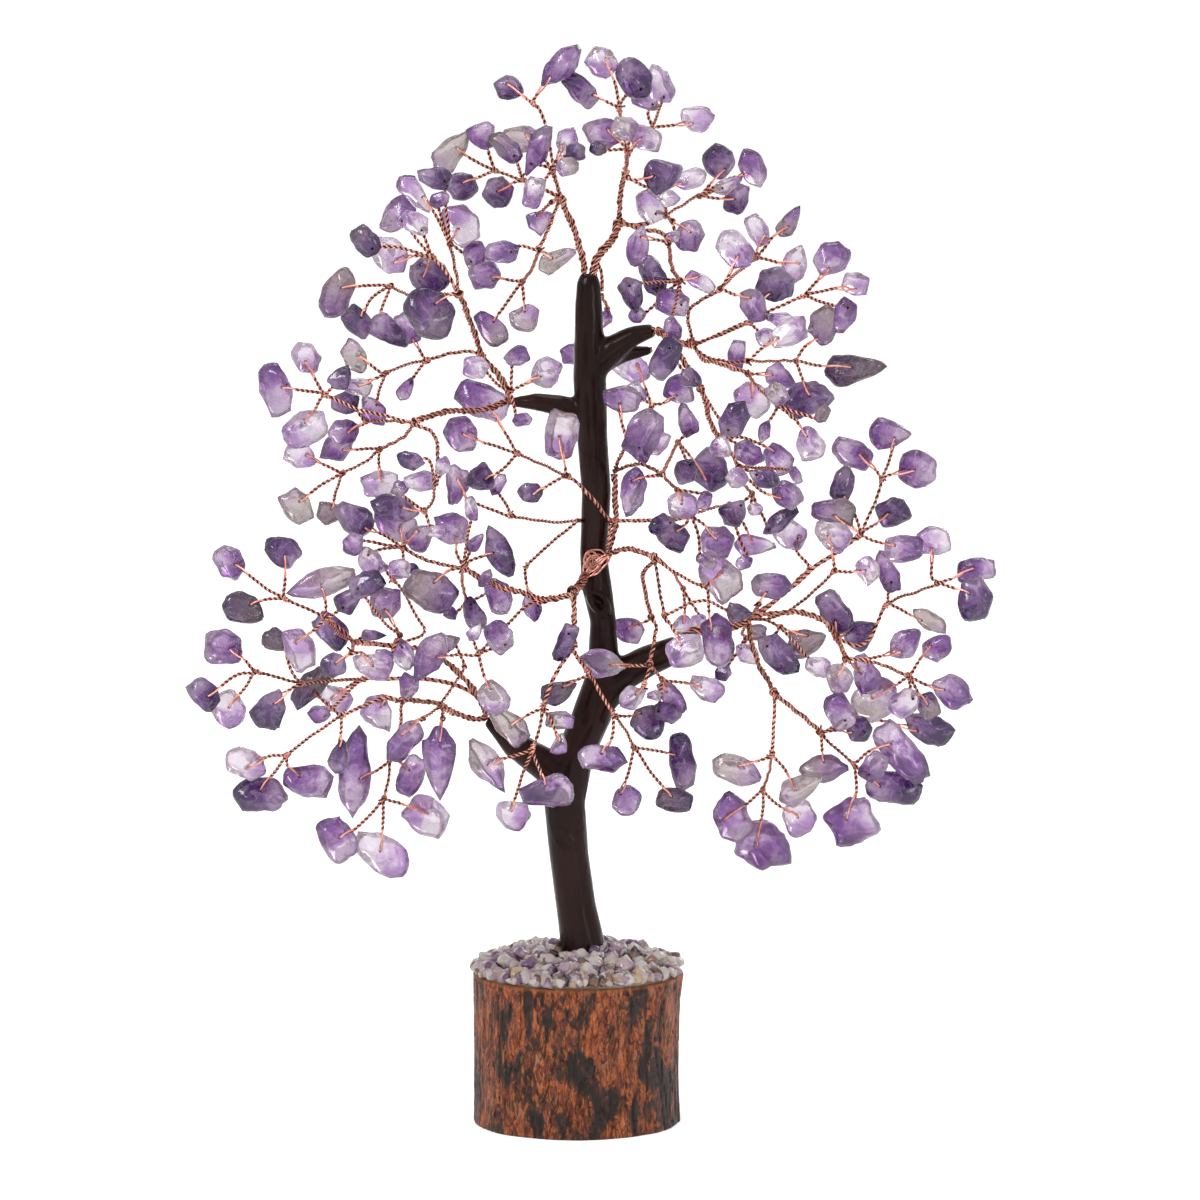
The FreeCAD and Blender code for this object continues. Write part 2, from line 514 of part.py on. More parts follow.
            (80.3, 115.8, 14, 10.5, 35, "p:oval", (79.5, 116.5), (85, 119)),
            (88.3, 115, 9, 7, 30, "p", None)]),
        ("h9", "h6", 0.5, [(78.5, 130), (82, 140), (83.5, 142)], [
            (83.3, 151.3, 12.5, 5.5, -70, "v", None, (83.5, 145)),
            (95.5, 137, 13, 5, -35, "p:kite", (92, 137), (88, 140))]),
        ("h10", "h9", 0.1, [(86, 143.5), (91, 145), (97.5, 147.8)], [
            (107.7, 151.2, 11, 6, 10, "v", (106.8, 152), (102.5, 149)),
            (107.3, 143, 12.5, 9, 70, "d", (105.8, 145), (101, 146.5)),
            (96, 159, 9, 7.5, 15, "p", (95.5, 157.3), (95, 149))]),
        ("h11", "h0", -0.25, [(50, 138), (55, 135.5)], [
            (62, 131.5, 12, 8, 20, "v", (62, 134.3), (57, 134.5)),
            (54.5, 127.8, 15, 7.5, -40, "d", None),
            (64.8, 125, 7, 5.5, -20, "p", None)]),
        ("h13", "h0", 0.45, [(44, 134), (45.5, 132.5)], [
            (45.8, 128.3, 8, 5.5, -45, "p", None),
            (48.3, 134.2, 5, 4, 0, "v", None),
            (39.3, 123.3, 5.5, 4, 50, "d", None)]),
        ("h12", "h0", -0.5, [(47, 129), (51, 122), (53.3, 117.5)], []),
        ("v1", "h12", -0.5, [(53.2, 112), (52.7, 105), (52.5, 100.3)], [
            (42.8, 96.4, 14, 7.5, -25, "p:oval", (43.5, 98), (47.5, 98.7)),
            (60.5, 91.8, 14, 7.5, 28, "p", (59, 91.5), (56.5, 96))]),
        ("v2", "v1", 0.1, [(51.5, 95.5), (50, 91)], [
            (41.8, 83.3, 16, 9, -75, "v:oval", (39.5, 83), (46.5, 88)),
            (50, 75.9, 16.5, 12, -35, "v:oval", (48.5, 76.3), (50, 84.5)),
            (60, 83.6, 9.6, 9.5, 0, "p:oval", (59.5, 84), (54.5, 86.5))]),
        ("v3", "h12", 0.2, [(60, 112), (65.7, 106.7)], [
            (66.1, 97, 15.3, 7.5, -3, "v:kite", (66.5, 99), (66, 102)),
            (76.2, 107.6, 8, 7, 0, "d", (73.6, 107), (71, 107.5)),
            (70.7, 113, 10.5, 7, -60, "v", None),
            (94.5, 108, 14, 7.5, -25, "d:wedge", (91.7, 107.5), (79, 110.5), (87, 108.7))]),
        ("v4", "v3", -0.2, [(70, 102), (75, 98)], [
            (74.5, 82.5, 13, 11.5, 30, "v:block", (72.7, 83.5), (75.7, 90)),
            (85, 91.6, 15.5, 8, -8, "d:block", (81.7, 92.3), (78.5, 95)),
            (88, 100.8, 21, 8.5, -52, "v:block", (84.5, 104), (79, 102)),
            (80, 97.7, 8.5, 6, 60, "v", None)]),
    ],
    "lower_front": [
        ("i0", "g4", -0.35, [(21.5, 136), (20.5, 131), (19.5, 125.3)], [
            (6.5, 125.7, 14.5, 8, -12, "p:kite", (8.7, 125.5), (15, 125))]),
        ("i1", "i0", -0.2, [(23, 121)], [
            (25.8, 116.3, 10, 5, -55, "v", (24, 118)),
            (34.8, 119, 9.5, 6.5, -30, "p:wedge", (33.3, 119.5), (30, 120.5)),
            (24, 112.3, 8.5, 5.5, -15, "d", None),
            (20.5, 117, 4, 3, 0, "p", None)]),
        ("i2", "i0", -0.4, [(17.8, 119)], [
            (14.5, 116, 9, 6, 30, "p", (15.7, 117.5))]),
        ("j0", "coil_left", -0.25, [(0.5, 147), (-1.3, 145)], []),
        ("j1", "j0", -0.25, [(-1, 140), (-1, 130)], [
            (-3.5, 131, 11, 4.8, 70, "d", None)]),
        ("j2", "j1", -0.3, [(-4, 126), (-7, 121), (-9.5, 113.5)], [
            (-19, 109.5, 14, 7, -50, "p:wedge", (-18, 109), (-12, 112.5)),
            (-4.5, 110, 7.5, 4.5, 0, "p", None),
            (-4.8, 103.5, 7, 4.3, 80, "p:drop", (-4.9, 105.6), (-6.5, 108.7))]),
        ("t1", "j2", -0.4, [(-10, 108), (-12.3, 102)], [
            (-24.7, 98.3, 17.5, 8, -60, "p:kite", (-24.3, 98.3), (-18, 100.5)),
            (-17.7, 84.3, 8.8, 7.5, -30, "p", (-18, 85.7), (-14.5, 97)),
            (-8.3, 90.6, 14.5, 9, 5, "v:wedge", (-8.8, 92.8), (-10.5, 97.5))]),
        ("u0", "j1", -0.25, [(0, 127), (3, 123)], [
            (-5, 118, 10.5, 6.5, 25, "d:drop", (-3.5, 121))]),
        ("u1", "u0", -0.3, [(7, 116.5), (10, 111.5)], [
            (18.8, 109.4, 9.5, 8, -50, "d:oval", (17, 112.5), (14.5, 111.3)),
            (6.6, 99.9, 14, 7, -10, "v:oval", (6.5, 101.3), (9.5, 105))]),
        ("u2", "u1", 0.1, [(13, 107), (15.3, 102.5)], [
            (28.3, 98.7, 15.5, 7, -80, "d:block", (26.5, 101), (21, 101.9)),
            (13.2, 88, 9.5, 7.4, 80, "v:oval", (11.5, 90.5), (14, 96)),
            (26, 88.4, 10, 5.8, -5, "d:block", (25.3, 89.5), (20.5, 95))]),
    ],
    "mid_left": [
        ("k0", "j0", -0.2, [(-6, 143.5), (-11, 143)], []),
        ("k1", "k0", -0.15, [(-14.5, 145), (-22, 146.5), (-31, 152)], [
            (-34, 162.3, 10.5, 9, -40, "v", (-32.7, 160.5), (-33, 156)),
            (-39.5, 145.5, 14, 9.5, -20, "v:block", (-38.3, 149.2), (-36, 151)),
            (-20.8, 155.8, 17, 6.5, -68, "d:kite", (-23, 156), (-28, 154.5)),
            (-28.8, 168, 7, 3.5, -80, "p", None, (-29.5, 160)),
            (-27.2, 159, 7, 3.5, 50, "v", None),
            (-25, 149, 6, 3, 55, "v", None)]),
        ("k2", "k1", 0.3, [(-36, 152.3), (-44, 155.2), (-47.5, 157.5)], [
            (-60.5, 165.3, 11, 8.5, -45, "d", (-57.5, 163), (-54.5, 162)),
            (-56, 153.5, 9.5, 6, -75, "p", None, (-53, 157)),
            (-49.7, 164.7, 12.5, 8.5, -30, "v", (-48, 163)),
            (-60.5, 158, 7, 5.5, 40, "v", None),
            (-48, 151.5, 6, 5, 0, "p", None),
            (-42.2, 160.5, 9.5, 7, 50, "v", (-43, 162))]),
        ("k3", "k1", 0.6, [(-31.5, 148), (-30, 142.5)], [
            (-21.3, 143.8, 11.5, 7, -75, "v", None, (-25, 144.5)),
            (-28, 139.3, 9.5, 5.5, -70, "d", None),
            (-34.5, 139.5, 5.5, 3.5, -50, "d", None)]),
        ("k4", "k0", -0.45, [(-14, 141.5), (-18, 137.5), (-27, 128)], [
            (-22.8, 116, 9, 7, -45, "p:block", (-23.5, 119), (-25.5, 122)),
            (-39.8, 127.8, 15, 8, 55, "v:kite", (-37.8, 127.7), (-32, 128.4)),
            (-21.2, 133, 9, 6.5, -50, "v", None),
            (-27.5, 134.5, 6, 3.5, 55, "p", None)]),
        ("l1", "trunk_left", 0.3, [(-8, 164.3), (-18.5, 166)], [
            (-21.3, 174.5, 7.5, 3.5, 60, "v", None, (-19, 168.5)),
            (-33, 173.5, 11, 6, 75, "v", (-32.5, 176), (-28, 169.3), (-32.5, 171))]),
        ("l2", "trunk_left", 0.1, [(-7, 159), (-14.5, 151.7)], [
            (-12.4, 141.5, 9.5, 5, -80, "v", (-13, 144), (-14, 148))]),
        ("m1", "trunk_front", -0.35, [(7, 166.5), (3, 172), (-3, 177)], [
            (-4.4, 188.3, 12.5, 8.5, 85, "p", (-5, 187.7), (-3.5, 182)),
            (-12.6, 172.3, 8, 5, -5, "d", (-12, 171.8), (-7.5, 174.5))]),
        ("m2", "m1", 0.15, [(-10, 180), (-16.3, 183)], [
            (-26, 197.5, 15, 9, -25, "v:block", (-23.8, 196), (-20.5, 190)),
            (-25.8, 175.8, 8.5, 7.5, -40, "d", (-25, 176), (-20, 178.5)),
            (-31.5, 188, 11.5, 8, -50, "v", (-31, 188.5), (-25, 185.5))]),
    ],
    "upper_left": [
        ("n0", "stub_upper_left", 0.05, [(-20, 203), (-26.5, 210)], []),
        ("n1", "stub_upper_left", -0.35, [(-18, 200)], [
            (-16.5, 209.3, 7, 5, 20, "v", None),
            (-8.3, 205, 10, 8, 20, "p", (-10, 204)),
            (-27.5, 206, 7, 5.5, -10, "p", None, (-21, 201)),
            (-15, 192, 6, 3.5, 10, "v", None)]),
        ("n2", "n0", 0.4, [(-31.5, 211), (-41, 208)], [
            (-45.8, 216.8, 9.5, 6.5, -60, "v", (-44, 213.5)),
            (-46, 200.8, 8, 4, 60, "v", None)]),
        ("n3", "n2", 0.15, [(-45, 207.5), (-52, 204.5)], [
            (-60.3, 209.5, 11, 6, -60, "p", (-59, 209.5), (-55, 206.5)),
            (-59.5, 201, 8, 5, -15, "p", (-59, 201.5)),
            (-55, 194.5, 10, 6, -55, "v", (-54, 196.3), (-53.5, 200))]),
        ("n4", "n0", -0.4, [(-27, 213), (-29.5, 220), (-32, 226.5)], [
            (-40, 220.8, 16, 11.5, -60, "d:oval", (-38.3, 223.5), (-34.5, 226))]),
        ("n5", "n4", 0.5, [(-38, 226), (-46, 225.5), (-50.5, 228.5)], [
            (-64.8, 226.3, 16, 8, 70, "v:oval", (-63.5, 228), (-57, 228.3)),
            (-59, 218.5, 9, 6.5, -40, "d", (-58, 220.5), (-55, 226)),
            (-50.5, 215.5, 15, 7, -38, "d", None)]),
        ("n6", "n4", -0.5, [(-35, 232), (-39.5, 236.5)], [
            (-50.2, 236.3, 11, 8, -55, "p", (-49.3, 235), (-45, 236.5)),
            (-49, 247.2, 11, 8, 45, "v", (-47, 246), (-44, 242)),
            (-43.5, 245.5, 9, 6, -50, "p", None),
            (-56.8, 240.5, 9, 6, -50, "d", None, (-48, 239)),
            (-39.8, 230.8, 12.5, 8.5, -20, "d", (-41.5, 230.8))]),
        ("n7", "n4", 0.2, [(-32.5, 232), (-34.5, 240)], [
            (-31.3, 245, 11, 8, -60, "p", (-32, 243.8)),
            (-43.5, 253, 13, 6, -50, "p:drop", (-40.5, 252), (-38.5, 248)),
            (-37, 251.5, 6, 4, 20, "v", None),
            (-38.5, 257.5, 10, 6, -15, "d", None, (-35.5, 250)),
            (-27.5, 237, 9, 7, 60, "v", None)]),
        ("o0", "stub_upper_left", -0.2, [(-27, 194.5), (-36, 194.3), (-44.5, 191.3)], []),
        ("o2", "o0", -0.1, [(-52, 193.2), (-58.5, 194.5), (-68.5, 199)], [
            (-81.5, 200.3, 14, 7.5, -70, "v", (-79.5, 201), (-75, 200.3)),
            (-73, 209, 9.5, 7, -60, "p", (-73.3, 208), (-71, 203.5)),
            (-73.5, 189.5, 13, 8.5, 30, "p:block", (-73.5, 191.5), (-71, 194.3)),
            (-63.5, 203.5, 8, 6, 60, "d", None)]),
        ("o1", "o0", 0.35, [(-52, 192), (-57.5, 191.5)], [
            (-63, 188.7, 9.5, 6.5, 10, "v", (-62, 188.7)),
            (-63, 196.8, 7.5, 6.5, 0, "d", None)]),
        ("o3", "o0", 0.6, [(-46, 187.5), (-53.5, 184)], [
            (-65, 184.5, 11, 8, 30, "v", (-63, 184), (-58, 184)),
            (-53.5, 174.5, 10.5, 7, 15, "p", (-53, 175.5), (-54, 180))]),
        ("o4", "o3", 0.2, [(-57, 180.5), (-63.5, 177.5)], [
            (-75, 182.5, 9.5, 6.5, -35, "p", (-73, 182.5), (-68, 179.7)),
            (-75.8, 168.3, 10, 7, -50, "p", (-75, 170), (-69, 174.5)),
            (-66.5, 167, 8, 6.5, 15, "v", (-66.5, 168), (-65.3, 173))]),
        ("p0", "o0", -0.5, [(-37, 188), (-38.5, 174)], [
            (-45, 181, 8, 5, -15, "d", None, (-40, 182)),
            (-42.8, 175.5, 8, 5.5, 0, "p", None),
            (-36.3, 179.5, 6, 4, 70, "p", None)]),
        ("p1", "p0", -0.3, [(-39, 170), (-41.5, 167)], [
            (-47.8, 173.5, 5, 4, 60, "v", None),
            (-50, 168.2, 14.5, 6.5, -15, "d", (-47.3, 168.5)),
            (-38, 161.5, 5, 3, 0, "p", None)]),
    ],
    "left_low": [
        ("q0", "stub_lower_left", 0.2, [(-28, 119.5), (-37, 127.5), (-43, 130), (-50, 130.5)], []),
        ("q00", "q0", 0.2, [(-55, 131), (-60.5, 131.5)], [
            (-55.3, 133.3, 8, 3.2, 0, "d", None)]),
        ("q1", "q00", 0.1, [(-63, 134.5), (-71, 140), (-79.5, 143.5)], [
            (-94, 153, 10.5, 7.5, -70, "v", (-92.5, 153), (-87, 148)),
            (-80, 156.5, 10, 8, -35, "d", (-79, 155.5), (-79, 149)),
            (-90.7, 141, 13.5, 8.5, -30, "d", (-88.5, 141.8), (-84, 143.3))]),
        ("q2", "q00", -0.35, [(-65, 134), (-68, 138)], [
            (-66.9, 134.8, 12, 7, -40, "d", (-65, 136.5)),
            (-68.5, 148, 22, 7.5, 18, "p:kite", (-69, 146.6), (-68, 142.5)),
            (-75, 129.5, 12.5, 7.5, -65, "p", (-76, 131.5), (-71.5, 134.3)),
            (-61.5, 143, 9, 6.5, 45, "d", None)]),
        ("q3", "q00", -0.6, [(-61, 128.5)], [
            (-66, 125.3, 7.5, 6, 30, "d", (-65.3, 126)),
            (-55.3, 125.2, 10.5, 7, -15, "p", (-55.3, 125.3), (-57.5, 129))]),
        ("q4", "q0", -0.3, [(-48, 133.5)], [
            (-52, 142.5, 11, 9, 40, "v", (-52, 140.7), (-50, 137)),
            (-57, 147.5, 9, 6.5, 30, "d", None, (-52.5, 137)),
            (-47, 127.8, 8.5, 5.5, -80, "p", None),
            (-52, 127.5, 5, 4, 0, "v", None)]),
        ("q5", "q0", 0.5, [(-40, 133.5), (-43.7, 139), (-47.5, 146), (-50.5, 149)], [
            (-53.5, 152, 6, 4.5, 0, "p", None),
            (-45, 151.5, 4.5, 3, 0, "d", None)]),
        ("r0", "stub_lower_left", 0.0, [(-28, 110.5), (-34, 112.5), (-37, 114.3)], []),
        ("r7", "stub_lower_left", 0.3, [(-27, 117), (-35, 120.8), (-48, 121.8), (-59, 121.5)], [
            (-65.7, 116.3, 9, 7, -35, "p", (-66.3, 115.9), (-63, 119)),
            (-70, 111.8, 7, 5, -10, "v", None, (-65, 114.5))]),
        ("r1", "r7", 0.1, [(-75.5, 120), (-82, 122), (-87.5, 123.5)], [
            (-96, 130, 10.5, 9.5, 0, "v", (-94, 130), (-89.5, 126.5)),
            (-101, 117.3, 9.5, 6.5, -45, "d:block", (-100, 117), (-92, 123)),
            (-94.3, 113.2, 9.5, 8, -60, "p", (-94.3, 114), (-90, 119))]),
        ("r2", "r7", -0.3, [(-66.5, 121), (-75, 120.2)], [
            (-81, 131.5, 9, 6, -35, "d", (-79.3, 130), (-77, 123)),
            (-83, 113.5, 13.5, 8.5, 60, "d:drop", (-82, 115), (-79, 118))]),
        ("r8", "r0", -0.15, [(-43, 115.5), (-48, 115.5)], [
            (-46, 119.5, 7, 5.5, 70, "v", None)]),
        ("r4", "r8", -0.25, [(-52.5, 117), (-61, 112.5), (-64, 111.5)], [
            (-72.3, 119.5, 14, 6, 50, "d:block", (-71.3, 118), (-66.5, 113.5)),
            (-64.5, 100.7, 9.8, 5.5, 80, "d:drop", (-64.3, 104), (-64, 107))]),
        ("r5", "r8", 0.2, [(-52, 116.3)], [
            (-53.8, 111.7, 11.5, 8.5, -55, "p:drop", (-53.3, 114))]),
        ("r6", "r0", -0.3, [(-36.3, 112.5), (-36.6, 110.5)], [
            (-37.4, 97, 21.5, 8.5, -88, "v:drop", (-37.3, 105.7))]),
        ("r9", "r0", 0.45, [(-33, 120.5), (-30.5, 125)], [
            (-34.5, 131.5, 6, 4.5, 20, "v", None)]),
        ("r10", "r0", -0.4, [(-40.5, 111.5), (-42, 110.5)], [
            (-46.9, 104.6, 14.5, 6.5, 50, "v:oval", (-48, 106.7), (-46, 109.5))]),
        ("s2", "r8", 0.25, [(-47.5, 109.5), (-50.8, 99.3)], [
            (-60.4, 96, 29, 8.7, 84, "v:kite", (-59, 94.5), (-56, 95)),
            (-45.2, 94.8, 11.5, 6.3, 70, "v:block", (-45.7, 96.8), (-48, 98.8))]),
        ("s3", "s2", -0.1, [(-51.3, 93), (-52.5, 88.5)], [
            (-65.2, 77.3, 12.3, 8.7, -58, "v:block", (-64.5, 78.2), (-60, 80.2)),
            (-52.6, 73.4, 17.5, 9.5, -40, "p:oval", (-53.5, 74.7), (-52.5, 81)),
            (-40.8, 84, 12.5, 9.5, -25, "p:block", (-40.5, 85), (-47, 87))]),
        ("s4", "r4", 0.1, [(-71, 107), (-79, 100.5)], [
            (-89.8, 98.3, 13, 8, -25, "p:oval", (-89.5, 97.3), (-84, 100.5)),
            (-85.8, 89.6, 16.3, 9.5, -5, "d:oval", (-86, 91.2), (-82.5, 95.5)),
            (-73, 93.9, 14, 9, -15, "v:wedge", (-75.3, 95), (-78.8, 96.3))]),
    ],
}


# ---------------------------------------------------------------- trunk
def edges_at(up):
    """Left and right edge of the coat at a height, straight between the rows."""
    for (z0, l0, r0), (z1, l1, r1) in zip(TRUNK_OUTLINE, TRUNK_OUTLINE[1:]):
        if up <= z1:
            share = max(0.0, (up - z0) / (z1 - z0))
            return l0 + (l1 - l0) * share, r0 + (r1 - r0) * share
    return TRUNK_OUTLINE[-1][1:]


def trunk_at(up):
    """Middle and half thickness of the trunk at a height."""
    left, right = edges_at(up)
    return (left + right) / 2, (right - left) / 2 * girth_share()


def ring_wire(centre, normal, radius, sides):
    """A regular outline square to the normal, its first corner towards the viewer."""
    side = V(normal).cross(V(0, 1, 0)).normalize()
    nearest = V(normal).cross(side).normalize()
    corners = []
    for k in range(sides):
        angle = 2 * math.pi * k / sides
        corners.append(centre + nearest * (math.cos(angle) * radius) + side * (math.sin(angle) * radius))
    return Part.makePolygon(corners + [corners[0]])


def smooth_limb(route):
    points = [seen(x, z, y) for x, z, y, _ in route]
    rings = []
    for i, p in enumerate(points):
        before, after = points[max(0, i - 1)], points[min(len(points) - 1, i + 1)]
        radius = route[i][3] * girth_share()
        rings.append(ring_wire(p, (after - before).normalize(), radius, LIMB_FACETS))
    return Part.makeLoft(rings, True, True)


def trunk_coat(cores):
    rings = []
    for up, _, _ in TRUNK_OUTLINE:
        middle, half = trunk_at(up)
        rings.append(ring_wire(seen(middle, up), V(0, 0, 1), half, TRUNK_FACETS))
    coat = Part.makeLoft(rings, True, True)
    for route in LIMB_STUBS.values():
        coat = coat.fuse(smooth_limb(route))
    for core in cores:
        coat = coat.cut(core)
    return max(coat.Solids, key=lambda s: s.Volume)


def trunk_foot():
    up = TRUNK_OUTLINE[0][0]
    return seen(trunk_at(up)[0], up)


def wire_cores():
    """The bundled wires inside the clay: one up the trunk and one out to each stub."""
    heights = [row[0] for row in TRUNK_OUTLINE[1:-3:2]]
    root = trunk_foot()
    path = [root - V(0, 0, ROOT_HOLE_DEPTH - 1.0), root]
    path += [seen(trunk_at(up)[0], up) for up in heights]
    path.append((seen(*STARTS["top_left"]) + seen(*STARTS["top_right"])) * 0.5)
    cores = [bar(path, CORE_SIZE, 6)]
    for name, route in LIMB_STUBS.items():
        points = [seen(x, z, y) for x, z, y, _ in route]
        first = points[0] + (points[1] - points[0]).normalize() * (CORE_SIZE * 0.5 + JOINT_GAP)
        tip = points[-1]
        if name in STARTS:
            x, z, y = STARTS[name]
            tip = seen(x, z, y)
            tip = tip - (tip - points[-2]).normalize() * JOINT_GAP
        size = min(LIMB_CORE_SIZE, 1.3 * route[-1][3])
        cores.append(bar([first] + points[1:-1] + [tip], size, 4, math.pi / 4))
    return cores


# ---------------------------------------------------------------- windings
def half_arc(start, tangent, end):
    """The arc from start, leaving along the tangent, to end."""
    chord = end - start
    along = V(chord).normalize()
    lean = tangent - along * tangent.dot(along)
    if lean.Length < 1e-7:
        return Part.LineSegment(start, end).toShape()
    angle = math.acos(max(-1.0, min(1.0, tangent.dot(along))))
    middle = (start + end) * 0.5 + V(lean).normalize() * (chord.Length / 2 * math.tan(angle / 2))
    return Part.Arc(start, middle, end).toShape()


def biarc(p0, t0, p1, t1):
    """Two arcs that meet smoothly, from one point and tangent to the next."""
    span, both = p1 - p0, t0 + t1
    spread = 2 * (1 - t0.dot(t1))
    along = span.dot(both)
    if spread < 1e-9:
        reach = span.dot(span) / (4 * span.dot(t1))
    else:
        reach = (-along + math.sqrt(along * along + spread * span.dot(span))) / spread
    meet = (p0 + p1 + (t0 - t1) * reach) * 0.5
    far = half_arc(p1, t1 * -1, meet)
    return [half_arc(p0, t0, meet), far]


def wound_tube(place, turns, wire, name):
    """One unbroken tube along place(turn), by biarcs of half a turn."""
    count = int(round(turns * 2))
    step = 1e-4
    points = [place(k / 2) for k in range(count + 1)]
    tangents = [(place(k / 2 + step) - place(k / 2 - step)).normalize() for k in range(count + 1)]
    edges = []
    for k in range(count):
        edges += biarc(points[k], tangents[k], points[k + 1], tangents[k + 1])
    path = Part.Wire(Part.__sortEdges__(edges))
    tube = path.makePipeShell([ring_wire(points[0], tangents[0], wire / 2, WIRE_SIDES)], True, False)
    fine = [place(k / 24) for k in range(int(turns * 24) + 1)]
    least = min((fine[i] - fine[j]).Length
                for i in range(len(fine)) for j in range(i + 14, len(fine)))
    print("%s: %.2f turns, least gap to itself %.2f mm" % (name, turns, least - wire))
    solid = tube.Solids[0] if tube.Solids else Part.Solid(tube)
    if solid.Volume < 0:
        solid.reverse()
    return solid


def coil_depth():
    """The rosette lies on the front of the trunk."""
    return -(trunk_at(COIL_CENTRE[1])[1] + COIL_WIRE / 2 + WIRE_CLEARANCE)


def rosette():
    middle = seen(COIL_CENTRE[0], COIL_CENTRE[1], coil_depth())

    def place(turn):
        angle = COIL_FIRST_ANGLE - 2 * math.pi * turn
        radius = COIL_FIRST_RADIUS + COIL_PITCH * turn
        return middle + V(math.cos(angle) * radius, 0, math.sin(angle) * radius)
    return wound_tube(place, COIL_TURNS, COIL_WIRE, "rosette")


def tie(at, direction, bundle):
    """A helix of wire round a bundle."""
    axis = V(direction).normalize()
    side = axis.cross(V(0, 1, 0)).normalize()
    other = axis.cross(side)
    radius = bundle / 2 + TIE_GAP + COIL_WIRE / 2
    start = at - axis * (TIE_TURNS * COIL_PITCH / 2)

    def place(turn):
        angle = 2 * math.pi * turn
        return (start + axis * (COIL_PITCH * turn) + side * (math.cos(angle) * radius)
                + other * (math.sin(angle) * radius))
    return wound_tube(place, TIE_TURNS, COIL_WIRE, "tie")


# ---------------------------------------------------------------- the crown
class Fork:
    """Where a bundle ends and its wires part, lying side by side from front to back."""

    def __init__(self, point, heading):
        self.point, self.heading = point, heading
        self.front, self.back, self.used = 0.0, 0.0, False

    def slot(self, width):
        size = width * BUNDLE_NEST
        if not self.used:
            self.used = True
            self.front = self.back = size / 2
            return self.point
        if self.front <= self.back:
            self.front += size
            return self.point + V(0, -(self.front - size / 2), 0)
        self.back += size
        return self.point + V(0, self.back - size / 2, 0)


def bundle_width(pairs):
    return max(PAIR_WIDTH, STRAND * math.sqrt(2 * pairs) * BUNDLE_PACK)


def count_pairs():
    """How many chips each stem feeds, with all that grows further out."""
    rows = [row for rows in CROWN.values() for row in rows]
    pairs = {row[0]: len(row[4]) for row in rows}
    for row in reversed(rows):
        parent = row[1]
        if parent in pairs:
            pairs[parent] += pairs[row[0]]
    return pairs


def seen_route(start, places, end_depth):
    """Points along a seen route whose depth runs evenly from the start to the end."""
    flat = [seen_from(start)] + list(places)
    runs = [math.dist(a, b) for a, b in zip(flat, flat[1:])]
    total = sum(runs)
    points, done = [start], 0.0
    for run, (x, z) in zip(runs, places):
        done += run
        points.append(seen(x, z, start.y + (end_depth - start.y) * done / total))
    return points


def lay_stems():
    pairs = count_pairs()
    forks = {name: Fork(seen(*place), V(0, 0, 1)) for name, place in STARTS.items()}
    stems = {limb: [] for limb in CROWN}
    lines = []
    for limb, rows in CROWN.items():
        for name, parent, share, places, _ in rows:
            size = bundle_width(pairs[name])
            start = forks[parent].slot(size)
            depth = crown_depth(places[-1][0], places[-1][1], share)
            points = seen_route(start, places, depth)
            heading = (points[-1] - points[-2]).normalize()
            forks[name] = Fork(points[-1], heading)
            ends = list(points)
            ends[0] = ends[0] + (points[1] - points[0]).normalize() * JOINT_GAP
            ends[-1] = ends[-1] - heading * (PAIR_WIDTH / 2 + JOINT_GAP)
            sides = 6 if pairs[name] > 11 else 4 if pairs[name] > 4 else 3
            stems[limb].append(bar(ends, size, sides, math.pi / sides))
            lines += [(a, b, size / 2) for a, b in zip(points, points[1:])]
    return forks, stems, lines


def near(a, b, reach):
    return abs(a.x - b.x) < reach and abs(a.z - b.z) < reach


